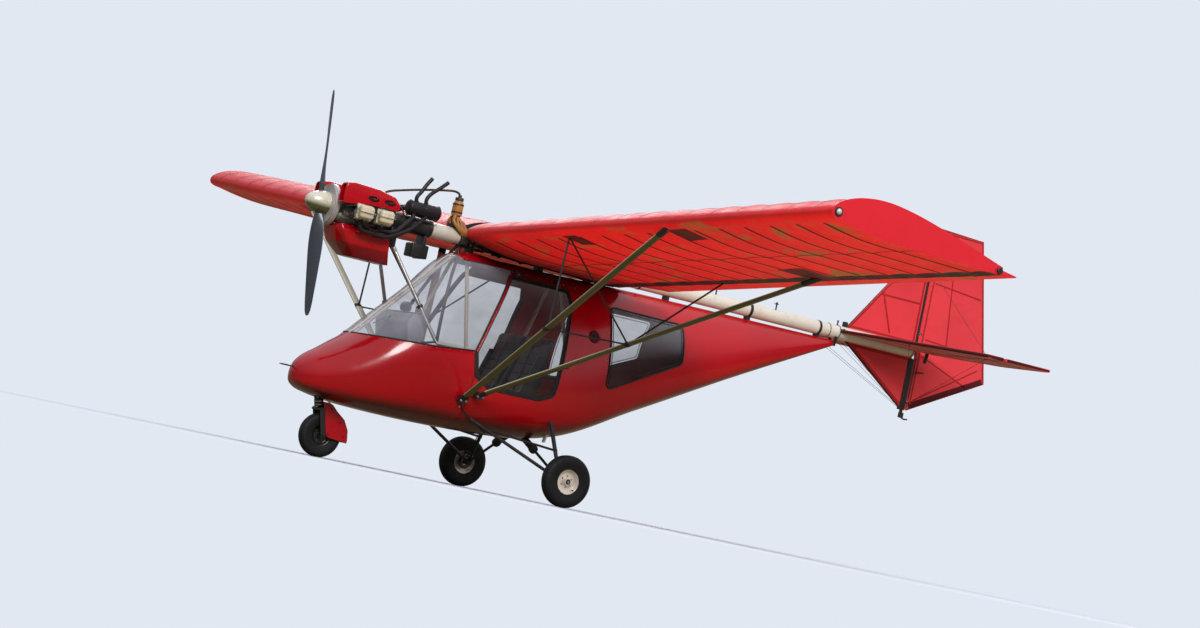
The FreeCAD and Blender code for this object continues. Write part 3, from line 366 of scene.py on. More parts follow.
def mesh_object(name, part):
    """Object from vertices in millimetres and faces."""
    mesh = bpy.data.meshes.new(name)
    mesh.from_pydata([tuple(c / 1000 for c in v) for v in part[0]], [], part[1])
    mesh.update()
    obj = bpy.data.objects.new(name, mesh)
    scene.collection.objects.link(obj)
    return obj


def piece(name, parts, look, body="airframe", crease=38, replaces=None):
    """One piece of the scene, from one part or from a list of parts."""
    obj = mesh_object(name, joined(parts) if isinstance(parts, list) else parts)
    finish_piece(obj, look, body, crease, replaces)
    return obj


def finish_piece(obj, look, body, crease, replaces):
    paint(obj, look)
    obj.data.polygons.foreach_set("use_smooth", [True] * len(obj.data.polygons))
    obj.data.set_sharp_from_angle(angle=math.radians(crease))
    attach(obj, body)
    if replaces:
        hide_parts(replaces)


def pair(name, parts, look, body="airframe", crease=38, replaces=None):
    """A port piece and its mirrored twin. {} in a body or node stands for the side."""
    part = joined(parts)
    return [piece(name + "_" + side, shape, look, body.format(side), crease,
        replaces and replaces.format(side)) for side, shape in (("port", part), ("starboard", mirror(part)))]


def grid(rows, closed=True, caps=True):
    """Vertices and faces of a skin over rows of points. closed joins each row's end to its start."""
    count = len(rows[0])
    verts = [p for row in rows for p in row]
    faces = []
    for i in range(len(rows) - 1):
        for k in range(count if closed else count - 1):
            n = (k + 1) % count
            faces.append((i * count + k, i * count + n, (i + 1) * count + n, (i + 1) * count + k))
    if caps and closed:
        faces.append(tuple(reversed(range(count))))
        faces.append(tuple(range((len(rows) - 1) * count, len(rows) * count)))
    return verts, faces


def joined(parts):
    verts, faces = [], []
    for part_verts, part_faces in parts:
        start = len(verts)
        verts.extend(part_verts)
        faces.extend(tuple(i + start for i in face) for face in part_faces)
    return verts, faces


def mirror(part):
    verts, faces = part
    return [Vector((v[0], -v[1], v[2])) for v in verts], [tuple(reversed(face)) for face in faces]


def basis(axis):
    axis = Vector(axis).normalized()
    first = axis.cross(Z if abs(axis.z) < 0.9 else Y).normalized()
    return axis, first, axis.cross(first)


def lathe(centre, axis, profile, sides=48, closed=False):
    """Turned part: profile rows are (radius, place along the axis)."""
    axis, first, second = basis(axis)
    rows = []
    for radius, along in profile + ([profile[0]] if closed else []):
        ring = []
        for k in range(sides):
            a = 2 * math.pi * k / sides
            ring.append(centre + axis * along + (first * math.cos(a) + second * math.sin(a)) * radius)
        rows.append(ring)
    return grid(rows, caps=not closed)


def rod(start, end, radius, sides=24):
    return tube([start, end], radius, sides)


def spline(points, steps=8):
    """Catmull-Rom curve through points."""
    points = [Vector(p) for p in points]
    ends = [points[0] * 2 - points[1]] + points + [points[-1] * 2 - points[-2]]
    out = []
    for i in range(len(points) - 1):
        a, b, c, d = ends[i:i + 4]
        for k in range(steps):
            t = k / steps
            out.append(0.5 * ((2 * b) + (c - a) * t + (2 * a - 5 * b + 4 * c - d) * t ** 2
                + (3 * b - a - 3 * c + d) * t ** 3))
    return out + [points[-1]]


def tube(path, radius, sides=14):
    """Pipe along a path, its section carried without twist. radius may be a list."""
    radii = radius if isinstance(radius, (list, tuple)) else [radius] * len(path)
    _, first, _ = basis(path[1] - path[0])
    rows = []
    for i, point in enumerate(path):
        way = (path[min(i + 1, len(path) - 1)] - path[max(i - 1, 0)]).normalized()
        first = (first - way * first.dot(way)).normalized()
        second = way.cross(first)
        rows.append([point + (first * math.cos(2 * math.pi * k / sides)
            + second * math.sin(2 * math.pi * k / sides)) * radii[i] for k in range(sides)])
    return grid(rows)


def pipe(points, radius, sides=14):
    """Straight runs of tube through places."""
    return tube([at(*p) for p in points], radius, sides)


def softened(part, size, segments=3, angle=28):
    """Closed part with its sharp edges rounded."""
    work = bmesh.new()
    verts = [work.verts.new(v) for v in part[0]]
    for face in part[1]:
        work.faces.new([verts[i] for i in face])
    bmesh.ops.recalc_face_normals(work, faces=work.faces)
    sharp = [e for e in work.edges if len(e.link_faces) == 2 and e.calc_face_angle(0) > math.radians(angle)]
    bmesh.ops.bevel(work, geom=sharp, offset=size, segments=segments, profile=0.5, affect="EDGES",
        clamp_overlap=True)
    work.verts.index_update()
    out = [v.co.copy() for v in work.verts], [tuple(v.index for v in f.verts) for f in work.faces]
    work.free()
    return out


def slab(outline, y0, y1, size=4, segments=3):
    """Plate drawn in the side view, with rounded edges."""
    return softened(grid([[at(p[0], y, p[1]) for p in outline] for y in (y0, y1)]), size, segments)


def box(x0, x1, y0, y1, z0, z1, size=4, segments=3):
    return slab([(x0, z0), (x1, z0), (x1, z1), (x0, z1)], y0, y1, size, segments)


def bar(start, end, wide, thick, size=2, across=Y):
    """Flat bar between two points."""
    way = (end - start).normalized()
    first = (Vector(across) - way * way.dot(Vector(across))).normalized() * wide / 2
    second = way.cross(first).normalized() * thick / 2
    rows = [[p - first - second, p + first - second, p + first + second, p - first + second]
        for p in (start, end)]
    return softened(grid(rows), size, 2)


def both(*parts):
    """The parts and their mirror images."""
    return list(parts) + [mirror(part) for part in parts]


def bolt(place, axis, radius=6):
    """Hexagon head on a washer."""
    return joined([lathe(place, axis, [(radius * 1.35, 0), (radius * 1.35, radius * 0.2)], 16),
        lathe(place, axis, [(radius, radius * 0.2), (radius, radius * 0.8), (radius * 0.8, radius)], 6)])


def spigot(path, radius, wall=2, deep=30, sides=18):
    """Pipe with an open end."""
    verts, faces = tube(path, radius, sides)
    way = (path[-1] - path[-2]).normalized()
    last = verts[-sides:]
    share = 1 - wall / radius
    inner = [path[-1] + (p - path[-1]) * share for p in last]
    extra = inner + [p - way * deep for p in inner]
    base = len(verts) - sides
    faces = faces[:-1]
    for i in range(2):
        for k in range(sides):
            n = (k + 1) % sides
            low = base + i * sides
            faces.append((low + k, low + n, low + sides + n, low + sides + k))
    faces.append(tuple(range(base + 2 * sides, base + 3 * sides)))
    return verts + extra, faces


def hose(points, radius, sides=12, steps=8):
    """Smooth tube through places."""
    return tube(spline([at(*p) for p in points], steps), radius, sides)


def ring(centre, axis, radius, thick, sides=40, round_sides=10):
    """Round bead or clamp ring."""
    profile = [(radius + thick * math.cos(2 * math.pi * k / round_sides),
        thick * math.sin(2 * math.pi * k / round_sides)) for k in range(round_sides)]
    return lathe(centre, axis, profile, sides, closed=True)


def hermite(marks, values, where):
    """Smooth curve through values at marks, read at each place."""
    marks, values = np.array(marks, float), np.array(values, float)
    gaps = np.diff(marks)
    slopes = (values[1:] - values[:-1]) / gaps[:, None]
    tangents = np.empty_like(values)
    tangents[0], tangents[-1] = slopes[0], slopes[-1]
    share = (gaps[1:] / (gaps[1:] + gaps[:-1]))[:, None]
    tangents[1:-1] = slopes[:-1] * share + slopes[1:] * (1 - share)
    k = np.clip(np.searchsorted(marks, where, "right") - 1, 0, len(gaps) - 1)
    t = ((where - marks[k]) / gaps[k])[:, None]
    h = gaps[k][:, None]
    return ((2 * t ** 3 - 3 * t ** 2 + 1) * values[k] + (t ** 3 - 2 * t ** 2 + t) * h * tangents[k]
        + (3 * t ** 2 - 2 * t ** 3) * values[k + 1] + (t ** 3 - t ** 2) * h * tangents[k + 1])


# Pod sections: station, keel, half width and height at waist, mid side and shoulder, and the top, in mm.
POD = [
    (1205, -1292, 14, -1284, 11, -1278, 6, -1272, -1270),
    (1198, -1318, 34, -1286, 27, -1268, 15, -1256, -1251),
    (1180, -1356, 92, -1288, 76, -1240, 42, -1210, -1198),
    (1125, -1392, 170, -1288, 142, -1206, 82, -1154, -1134),
    (1010, -1418, 255, -1270, 218, -1160, 128, -1084, -1052),
    (890, -1434, 325, -1240, 286, -1108, 172, -1008, -966),
    (793, -1445, 368, -1212, 332, -1062, 204, -946, -896),
    (600, -1455, 432, -1160, 412, -955, 262, -775, -692),
    (360, -1461, 480, -1105, 464, -840, 284, -560, -438),
    (60, -1462, 512, -1060, 474, -700, 285, -222, -128),
    (-300, -1453, 528, -1034, 484, -646, 322, -192, -111),
    (-700, -1424, 522, -1014, 478, -632, 308, -186, -108),
    (-1000, -1358, 490, -960, 446, -600, 258, -182, -102),
    (-1700, -1026, 372, -700, 332, -450, 152, -160, -88),
    (-2566, -596, 222, -410, 196, -285, 86, -126, -80),
    (-3565, -124, 40, -100, 36, -90, 24, -78, -72),
]


def pod_loop(row):
    x, keel, waist, waist_z, mid, mid_z, shoulder, shoulder_z, top = row
    depth = waist_z - keel
    half = [(0, keel), (waist * 0.52, keel + depth * 0.045), (waist * 0.86, keel + depth * 0.26),
        (waist, waist_z), (mid, mid_z), (shoulder, shoulder_z), (0, top)]
    other = [(-y, z) for y, z in reversed(half[1:-1])]
    return np.array([(x, y, z) for y, z in half + other])


POD_LOOPS = np.array([pod_loop(row) for row in POD])
around = POD_LOOPS[10]
steps = np.linalg.norm(np.roll(around, -1, axis=0) - around, axis=1) ** 0.75
AROUND = np.concatenate([[0], np.cumsum(steps)]) / steps.sum()
along = np.linalg.norm(np.diff(POD_LOOPS, axis=0), axis=2).mean(axis=1)
ALONG = np.concatenate([[0], np.cumsum(along)]) / along.sum()


def pod_points(t, u):
    """Surface points of the pod: t from nose to tail, u round from the keel, both 0 to 1."""
    loops = hermite(ALONG, POD_LOOPS.reshape(len(POD), -1), np.atleast_1d(t))
    loops = loops.reshape(len(loops), -1, 3)
    rings = []
    marks = np.concatenate([AROUND[-4:-1] - 1, AROUND, AROUND[1:4] + 1])
    for loop in loops:
        wrapped = np.concatenate([loop[-3:], loop, loop[:4]])
        rings.append(hermite(marks, wrapped, np.asarray(u, float)))
    return np.array(rings)


def pod_shell(inset, rows=150, count=112):
    """Closed skin of the pod, moved in by an inset."""
    t = np.linspace(0, 1, rows) ** 1.25
    u = np.arange(count) / count
    outer = pod_points(t, u)
    du = np.roll(outer, -1, axis=1) - np.roll(outer, 1, axis=1)
    dt = np.gradient(outer, axis=0)
    normal = np.cross(du, dt)
    normal /= np.linalg.norm(normal, axis=2)[:, :, None] + 1e-9
    middle = outer.mean(axis=1)[:, None, :]
    normal *= np.sign(np.sum(normal * (outer - middle), axis=2))[:, :, None]
    if inset:
        share = np.clip(np.linalg.norm(outer - middle, axis=2) / inset * 0.5, 0, 1)[:, :, None]
        outer = outer - normal * inset * share
        outer = outer[2:-1]
    return grid([[at(*p) for p in loop] for loop in outer])


def solid(part):
    """Tool for a boolean, with its faces turned out."""
    return outward(mesh_object("tool", part))


def outward(obj):
    """Turns the faces of a closed mesh to face out."""
    work = bmesh.new()
    work.from_mesh(obj.data)
    bmesh.ops.recalc_face_normals(work, faces=work.faces)
    if work.calc_volume(signed=True) < 0:
        bmesh.ops.reverse_faces(work, faces=work.faces)
    work.to_mesh(obj.data)
    work.free()
    return obj


def carve(obj, *steps):
    """Boolean steps, each an operation and a tool, with the result kept."""
    for operation, tool in steps:
        change = obj.modifiers.new("carve", "BOOLEAN")
        change.operation = operation
        change.object = tool
        change.solver = "MANIFOLD"
    graph = bpy.context.evaluated_depsgraph_get()
    mesh = bpy.data.meshes.new_from_object(obj.evaluated_get(graph))
    obj.modifiers.clear()
    obj.data = mesh
    return obj


def copied(obj):
    twin = obj.copy()
    twin.data = obj.data.copy()
    scene.collection.objects.link(twin)
    return twin


def rounded(points, radius, steps=7):
    """Closed side-view outline with each corner rounded."""
    out = []
    count = len(points)
    for i in range(count):
        corner, before, after = (Vector(points[j % count]) for j in (i, i - 1, i + 1))
        a, b = (before - corner).normalized(), (after - corner).normalized()
        half = a.angle(b) / 2
        reach = min(radius / math.tan(half), (before - corner).length / 2, (after - corner).length / 2)
        r = reach * math.tan(half)
        centre = corner + (a + b).normalized() * (r / math.sin(half))
        start, end = corner + a * reach - centre, corner + b * reach - centre
        total = start.angle(end)
        sign = 1 if start.x * end.y - start.y * end.x > 0 else -1
        for k in range(steps + 1):
            angle = sign * total * k / steps
            c, s = math.cos(angle), math.sin(angle)
            out.append(centre + Vector((start.x * c - start.y * s, start.x * s + start.y * c)))
    return out


def offset(outline, grow):
    """Outline moved out by a distance."""
    count = len(outline)
    area = sum(outline[i].x * outline[(i + 1) % count].y - outline[(i + 1) % count].x * outline[i].y
        for i in range(count))
    out = []
    for i in range(count):
        way = outline[(i + 1) % count] - outline[i - 1]
        normal = Vector((way.y, -way.x)).normalized() * (1 if area > 0 else -1)
        out.append(outline[i] + normal * grow)
    return out


def prism(outline, y0, y1):
    rows = [[at(p[0], y, p[1]) for p in outline] for y in (y0, y1)]
    return solid(grid(rows))


def side_prisms(outline, inner=150):
    """Tools through the port flank and the starboard flank of the pod."""
    return {s: prism(outline, *sorted((s * inner, s * 900))) for s in (1, -1)}


def clear_tools():
    for obj in [o for o in scene.collection.objects if o.name.startswith("tool")]:
        bpy.data.objects.remove(obj)


def side_view(*points):
    """Outline of (x, z) points."""
    return [Vector(p) for p in points]


SCREEN = side_view((1300, -925), (1000, -925), (793, -899), (300, -876), (-6, -846), (-27, -846),
    (-290, -176), (-290, 100), (1300, 100))
ROOF = side_view((75, -176), (75, 50), (-900, 50), (-900, -176))
AFT = side_view((-20, -1640), (-44, -1000), (-27, -846), (-290, -176), (-290, 60), (-3700, 60),
    (-3700, -1640))
DOOR = rounded(side_view((-18, -850), (-52, -1030), (-190, -1106), (-640, -1106), (-765, -1050), (-838, -330),
    (-800, -222), (-262, -222)), 45)
WINDOW = rounded(side_view((-1240, -270), (-1965, -270), (-1965, -575), (-1240, -915)), 45)
NOSE = side_view((1400, -1700), (1400, -925), (1000, -925), (793, -899), (300, -876), (-6, -846), (-27, -846),
    (-44, -1000), (-20, -1640))

STAY_TOP, STAY_FOOT = at(653, 118, -194), at(256, 384, -851)
outer_solid = solid(pod_shell(0))
inner_solid = solid(pod_shell(12))
pane_solid = solid(pod_shell(4))
screen_zone, roof_zone, aft_zone, nose_zone = (prism(p, -900, 900) for p in (SCREEN, ROOF, AFT, NOSE))
door_hole, door_zone, door_light = (side_prisms(p) for p in (offset(DOOR, 6), DOOR, offset(DOOR, -26)))
window_hole = side_prisms(WINDOW, 60)
stay_hole = rod(STAY_TOP, STAY_FOOT, 23)
strut_hole = {1: solid(stay_hole), -1: solid(mirror(stay_hole))}


def panel(name, look, zone, *cuts, crease=30, body="airframe", node=None):
    """Piece of the pod's skin: what lies inside the zone, less the cuts."""
    obj = carve(copied(outer_solid), (KEEP, zone), *((CUT, tool) for tool in cuts))
    obj.name = obj.data.name = name
    finish_piece(obj, look, body, crease, node)


CUT, KEEP = "DIFFERENCE", "INTERSECT"
doors = door_hole[1], door_hole[-1]
panel("nose_cowl_skin", "red", nose_zone, inner_solid, *doors, node="nose_cowl")
panel("roof_skin", "red", roof_zone, inner_solid, node="roof_panel")
panel("rear_skin", "red", aft_zone, roof_zone, inner_solid, *doors, window_hole[1], window_hole[-1],
    node="fuselage_skin")
panel("windscreen_pane", "glass", screen_zone, roof_zone, pane_solid, *doors, strut_hole[1], strut_hole[-1],
    node="windscreen")
for s, side in SIDES:
    panel("door_pane_" + side, "glass", door_light[s], pane_solid, body="door_" + side,
        node="door_glazing_" + side)
    panel("door_rim_" + side, "trim", door_zone[s], inner_solid, door_light[s], body="door_" + side,
        node="door_frame_" + side)
    panel("quarter_pane_" + side, "glass", window_hole[s], pane_solid,
        node="quarter_windows" if s == 1 else None)
clear_tools()

# Wings: cloth drawn over ribs, round a leading edge tube and down to the rear spar.
UPPER = [(-0.024, -6), (-0.016, 24), (0.018, 62), (0.085, 104), (0.19, 134), (0.29, 139), (0.45, 112),
    (0.72, 28), (1.0, -73)]
LOWER = [(-0.024, -6), (-0.018, -32), (0.0, -48), (0.055, -62), (0.16, -88), (0.30, -110), (0.6, -118),
    (1.0, -127)]
CHORD, DIHEDRAL, ROOT, TIP = 1410, 0.068, 75, 4800
RIBS = [90 + 300 * k for k in range(16)] + [4790]


def wing_z(y):
    """Height of the wing's datum line, which rises to the tip."""
    return 35 + DIHEDRAL * abs(y)


def airfoil(points, count):
    points = np.array([(x * CHORD, z) for x, z in points])
    marks = np.concatenate([[0], np.cumsum(np.linalg.norm(np.diff(points, axis=0), axis=1) ** 0.7)])
    where = np.linspace(0, 1, count) ** 1.2 * marks[-1]
    return hermite(marks, points, where)


UNDER = airfoil(LOWER, 40)
OVER = airfoil(UPPER, 44)


def wing_at(surface, f, y, lift=0):
    """Point on one face of the port wing. f runs from the leading edge to the rear spar."""
    k = f * (len(surface) - 1)
    i = min(int(k), len(surface) - 2)
    p = surface[i] + (surface[i + 1] - surface[i]) * (k - i)
    way = surface[min(i + 2, len(surface) - 1)] - surface[max(i - 1, 0)]
    side = -1 if surface is UNDER else 1
    normal = np.array([-way[1], way[0]]) / np.linalg.norm(way) * side
    place = next((r for r in range(len(RIBS) - 1) if y <= RIBS[r + 1]), len(RIBS) - 2)
    bay = min(max((y - RIBS[place]) / (RIBS[place + 1] - RIBS[place]), 0), 1)
    fore, aft = min(1, max(0, p[0] - 60) / 120), min(1, (CHORD - p[0]) / 100 + 0.3)
    sag = math.sin(math.pi * bay) ** 0.8 * 7.5 * fore * aft
    p = p + normal * (lift - sag)
    return at(-p[0], y, wing_z(y) + p[1])


def wing_section(y):
    """Closed row of points round the wing, from the upper rear edge forward and back below."""
    top = [wing_at(OVER, k / 43, y) for k in range(43, -1, -1)]
    return top + [wing_at(UNDER, k / 39, y) for k in range(1, 40)]


def wing():
    stations = [ROOT]
    for a, b in zip(RIBS[:-1], RIBS[1:]):
        stations.extend(a + (b - a) * k / 8 for k in range(8))
    stations.extend([RIBS[-1], TIP])
    return grid([wing_section(y) for y in stations])


def wing_patch(surface, f0, f1, y0, y1, lift=1.4, fine=16):
    """Strip of cloth laid on the wing, between two shares of its chord and two stations."""
    across = 2 if abs(y1 - y0) < 50 else max(2, int(abs(y1 - y0) / 37.5))
    rows = []
    for i in range(fine + 1):
        f = f0 + (f1 - f0) * i / fine
        rows.append([wing_at(surface, f, y0 + (y1 - y0) * k / across, lift) for k in range(across + 1)])
    return grid(rows, closed=False)


# Rib tapes, dark and wide so they also carry painted shade lines along the ribs; a dark line along the rear
# spar; and a dark strip at the rear edge, a painted shadow of the aileron gap.
tapes_and_shade_lines = []
for y in RIBS[1:-1]:
    tapes_and_shade_lines.append(wing_patch(UNDER, 0.20, 0.99, y - 14, y + 14, fine=30))
    tapes_and_shade_lines.append(wing_patch(OVER, 0.06, 0.99, y - 6, y + 6, fine=36))
tapes_and_shade_lines.append(wing_patch(UNDER, 0.655, 0.661, ROOT, TIP, fine=1))
tapes_and_shade_lines.append(wing_patch(UNDER, 0.95, 0.998, ROOT, TIP, lift=2, fine=3))
patches = [wing_patch(UNDER, 0.16, 0.36, 2800, 3020, 2.2), wing_patch(UNDER, 0.83, 0.99, 2720, 3040, 2.2),
    wing_patch(UNDER, 0.16, 0.34, 1400, 1580, 2.2)]
pair("wing_cloth", [wing()], "wing", crease=60, replaces="wing_{}")
pair("wing_tapes", tapes_and_shade_lines, "tape_and_shade")
pair("wing_patches", patches, "patch")

# Boom, lift struts and tubes with round sections.
piece("boom_skin", lathe(at(640, 0, 0), -X, [(57.5, 0), (57.5, 5025)], 64), "cream", replaces="boom_tube")


def strut(start, end, chord, thick, sides=28):
    """Streamlined tube."""
    way = (end - start).normalized()
    fore = (X - way * way.x).normalized()
    side = way.cross(fore)
    rows = []
    for point in (start, end):
        ring = []
        for k in range(sides):
            a = 2 * math.pi * k / sides
            across = math.sin(a) * (1 - 0.28 * math.cos(a + math.pi)) * 0.46
            ring.append(point + fore * (math.cos(a) * chord / 2) + side * (across * thick))
        rows.append(ring)
    return grid(rows)


STRUT_SHARE = 0.985
STRUT, SLEEVE = (62, 27), (67, 32)
front_top, rear_top = at(-30, 2870, 220), at(-1380, 2870, 130)
front_foot, rear_foot = at(13, 524, -1224), at(-100, 560, -1171)
struts = both(strut(front_foot, front_foot + (front_top - front_foot) * STRUT_SHARE, *STRUT),
    strut(rear_foot, rear_foot + (rear_top - rear_foot) * STRUT_SHARE, *STRUT))
piece("lift_strut_skins", struts, "strut", replaces="lift_struts")

# Engine: crankcase, finned cylinders, covers, cooling ducts and all that hangs on them.
CYLINDERS, PLUGS = (1018, 848), (958, 818)
case = [box(745, 1150, -100, 100, -120, 95, 18), box(790, 930, -55, 55, 90, 112, 6),
    lathe(at(1020, 0, 90), Z, [(30, 0), (30, 30), (24, 36)], 24)]
for x in (790, 880, 970, 1060, 1130):
    case += both(box(x - 6, x + 6, 90, 108, -105, 80, 4))
    case += [bolt(at(x, s * 70, 95), Z) for s in (1, -1)]
piece("crankcase", case, "alloy", replaces="engine_block")
barrels = []
for x in CYLINDERS:
    fins = [(46, 0)]
    for k in range(13):
        y = 4 + k * 10.2
        fins += [(46, y), (61.5, y + 1), (61.5, y + 3.4), (46, y + 4.4)]
    barrels += both(lathe(at(x, 100, -20), Y, fins + [(46, 138)], 40))
    for k in range(4):
        y = 232 + k * 9.2
        barrels += both(box(x - 63, x + 63, y, y + 4.5, -80, 40, 1.5, 2))
    barrels += both(box(x - 52, x + 52, 228, 269, -70, 30, 4))
    for dx in (-50, 50):
        barrels += both(rod(at(x + dx, 100, -66), at(x + dx, 240, -66), 6, 10))
piece("finned_cylinders", barrels, "alloy", replaces="engine_cylinders")
covers, bails = [], []
for x in CYLINDERS:
    covers += both(box(x - 66, x + 66, 270, 282, -73, 35, 5), box(x - 58, x + 58, 276, 337, -66, 28, 20, 5),
        box(x - 50, x + 50, 300, 339.5, -36, -6, 6))
    bails += both(hose([(x - 68, 262, 30), (x - 70, 300, -10), (x - 52, 341, -21), (x + 52, 341, -21),
        (x + 70, 300, -10), (x + 68, 262, 30)], 2.8, 8))
piece("valve_covers", covers, "cover", replaces="rocker_covers")
housing = [lathe(at(1150, 0, 0), X, [(86, 0), (86, 10), (70, 16), (58, 36), (50, 40), (50, 45), (21.9, 45),
    (21.9, 78)], 48)]
for k in range(8):
    a = math.pi * (k + 0.5) / 4
    housing.append(bolt(at(1160, 77 * math.cos(a), 77 * math.sin(a)), X, 5))
piece("drive_case", housing, "alloy", replaces="drive_housing")


def oval(x, long, high, count, tilt=0):
    """Outline of a plug's hole in the duct's flank."""
    turns = [2 * math.pi * k / count for k in range(count)]
    return [(x + long * math.cos(a), 94 + tilt * math.cos(a) + high * math.sin(a)) for a in turns]


DUCT = [(1198, 12), (1206, 60), (1203, 150), (1186, 174), (1130, 184), (920, 176), (775, 148), (722, 96),
    (724, 58), (752, 40), (980, 40), (1110, 20)]
for s, side in SIDES:
    duct = solid(slab(DUCT, s * 168, s * 262, 16, 5))
    cuts = [solid(slab([(1300, 30), (1120, 34), (1120, 164), (1300, 158)], s * 180, s * 251, 10, 4))]
    cuts += [solid(slab(oval(x, 48, 21, 32, 2), s * 246, s * 300, 0.5, 1)) for x in PLUGS]
    for y, wide in ((100, 134), (270, 70)):
        cuts += [solid(box(x - 66, x + 66, *sorted((s * y, s * (y + wide))), -100, 47, 2)) for x in CYLINDERS]
    carve(duct, *((CUT, tool) for tool in cuts))
    duct.name = duct.data.name = "cooling_duct_" + side
    clear_tools()
    finish_piece(duct, "red", "airframe", 34, "air_ducts" if s == 1 else None)
# Painted shade: dark sheets at the back of each duct's mouth, along its lower edge and behind the plug holes
# stand in for the shade inside.
dark = both(box(1119, 1124, 182, 249, 36, 162, 1, 1), slab([(1170, 4), (1110, 16), (1050, 30), (990, 38),
    (990, 30), (1050, 22), (1110, 6), (1165, -6)], 170, 262, 3))
leads = []
for x in PLUGS:
    dark += both(slab(oval(x, 50, 23, 24), 243, 247.5, 0.5, 1))
    leads += both(lathe(at(x - 6, 244, 94), Y, [(12, 0), (12, 12), (8, 16), (8, 28)], 16),
        hose([(x - 6, 268, 94), (x - 16, 278, 96), (x - 35, 262, 118), (x - 50, 248, 130)], 4.5, 8))
piece("duct_shade_sheets", dark, "shade_black")
piece("ignition_leads", leads, "lead")
cowl = []
for z, side, corner, rear, flank, front in ((-120, 146, 88, 705, 1126, 1148),
        (-170, 168, 96, 705, 1110, 1146), (-262, 158, 84, 690, 1050, 1112), (-352, 92, 56, 640, 950, 1010)):
    cowl.append([at(x, y, z) for x, y in ((rear, -side), (flank, -side), (front, -corner), (front, corner),
        (flank, side), (rear, side))])
piece("under_cowl", softened(grid(cowl), 11, 4, 10), "red", crease=50, replaces="lower_cowl")
screws = [lathe(at(730 + 75 * k, 148, -128), (0, 1, 0.05), [(5, 0), (4, 2.5)], 12) for k in range(6)]
screws += [lathe(at(1149, 15 + 30 * k, -135), (1, 0, 0.05), [(5, 0), (4, 2.5)], 12) for k in range(3)]
piece("cowl_screws", both(*screws), "silver")
trims = both(hose([(706, 148, -121), (900, 149, -119), (1122, 147, -119), (1148, 90, -119), (1149, 0, -119)],
    5, 8, 4))
piece("cowl_edge_trim", trims, "trim")

# Exhaust: four headers to a canister beside the boom, and two open stacks.
pipes = []
FRONT_HEADER = [(1018, 232, -78), (1012, 232, -122), (985, 232, -150), (900, 232, -155), (780, 232, -156)]
REAR_HEADER = [(848, 206, -78), (842, 206, -100), (815, 206, -116), (700, 200, -100)]
HEADER_ENDS = {
    1: ([(590, 190, -66), (430, 120, 70), (430, 100, 110)], [(560, 140, 20), (520, 110, 100)]),
    -1: ([(640, 150, 60), (520, 60, 128), (480, -60, 122)], [(610, 130, 40), (560, 70, 100), (520, 0, 122)]),
}
for s, (front_end, rear_end) in HEADER_ENDS.items():
    for points in (FRONT_HEADER + front_end, REAR_HEADER + rear_end):
        pipes.append(hose([(x, s * y, z) for x, y, z in points], 17, 20))
    pipes += [lathe(at(x, s * y, -100), Z, [(28, 0), (28, 8), (18, 8)], 20)
        for x, y in ((1018, 232), (848, 206))]
pipes.append(lathe(at(308, 96, 118), X, [(30, 0), (46, 3), (55, 12), (58, 24), (58, 252), (55, 265),
    (46, 274), (30, 277)], 48))
for x in (325, 450, 567):
    pipes.append(ring(at(x, 96, 118), X, 58, 3, 48, 8))
for x, reach in ((515, 92), (430, 148)):
    path = spline([at(x, 96, 150), at(x + 6, 96, 205), at(x - 24, 96, 256), at(x - reach * 0.62, 96, 318),
        at(x - reach, 96, 372)], 8)
    pipes.append(spigot(path, 15))
    pipes.append(ring(at(x + 4, 96, 178), (0.1, 0, 1), 16, 3, 24, 8))
piece("exhaust_pipes", pipes, "pipe", crease=45, replaces="exhaust_system")

# Mount behind the engine, its sleeve on the boom, and the struts down to the cabin.
mount = [box(652, 745, -62, 62, -112, 60, 6), box(640, 700, -140, 140, -120, -60, 6),
    lathe(at(310, 0, 0), X, [(57.5, 0), (66.5, 0), (66.5, 6), (66.5, 330), (72.5, 331), (72.5, 352),
    (57.5, 352)], 56)]
mount += both(box(640, 690, 104, 140, -215, -60, 6), bolt(at(665, 140, -194), Y, 9),
    bolt(at(746, 45, -95), X), bolt(at(746, 45, 45), X))
for x in (330, 470, 610):
    mount += [ring(at(x, 0, 0), X, 66.8, 2.2, 56, 8), bolt(at(x, 66, -12), (0, 1, -0.2))]
piece("mount_frame", mount, "black", replaces="engine_mount")
way = (STAY_FOOT - STAY_TOP).normalized()
stays = both(rod(STAY_TOP, STAY_FOOT, 14, 32), lathe(STAY_TOP, way, [(16.5, 10), (16.5, 50), (14, 56)], 28))
piece("engine_stay_tubes", stays, "silver", replaces="engine_struts")

# Breather bottle, its bracket, and the hose from the crankcase.
BOTTLE_X = 108
piece("bottle_body", lathe(at(BOTTLE_X, 0, 150), Z, [(34, 0), (41, 4), (42, 12), (42, 88), (40, 98),
    (32, 110), (28, 118)], 40), "amber", replaces="breather_bottle")
bottle = [lathe(at(BOTTLE_X, 0, 266), Z, [(30, 0), (33, 3), (33, 20), (29, 26), (14, 30), (12.5, 46)], 32)]
for z in (170, 230):
    bottle.append(lathe(at(BOTTLE_X, 0, z), Z, [(42.5, 0), (43.8, 1), (43.8, 11), (42.5, 12)], 36))
bottle.append(box(BOTTLE_X - 22, BOTTLE_X + 22, -30, 30, 58, 150, 5))
piece("bottle_cap_and_stand", bottle, "black", replaces="breather_hose")
path = [(770, 0, 90), (765, 0, 140), (725, 0, 200), (560, 0, 250), (400, 0, 288), (260, 0, 316),
    (170, 0, 330), (125, 0, 322), (BOTTLE_X, 0, 300)]
piece("breather_line", [hose(path, 9, 14), lathe(at(770, 0, 86), Z, [(14, 0), (14, 20), (10, 20)], 20)],
    "hose")
rags = [lathe(at(BOTTLE_X, 0, 300), Z, [(11, 0), (11, 12)], 16)]
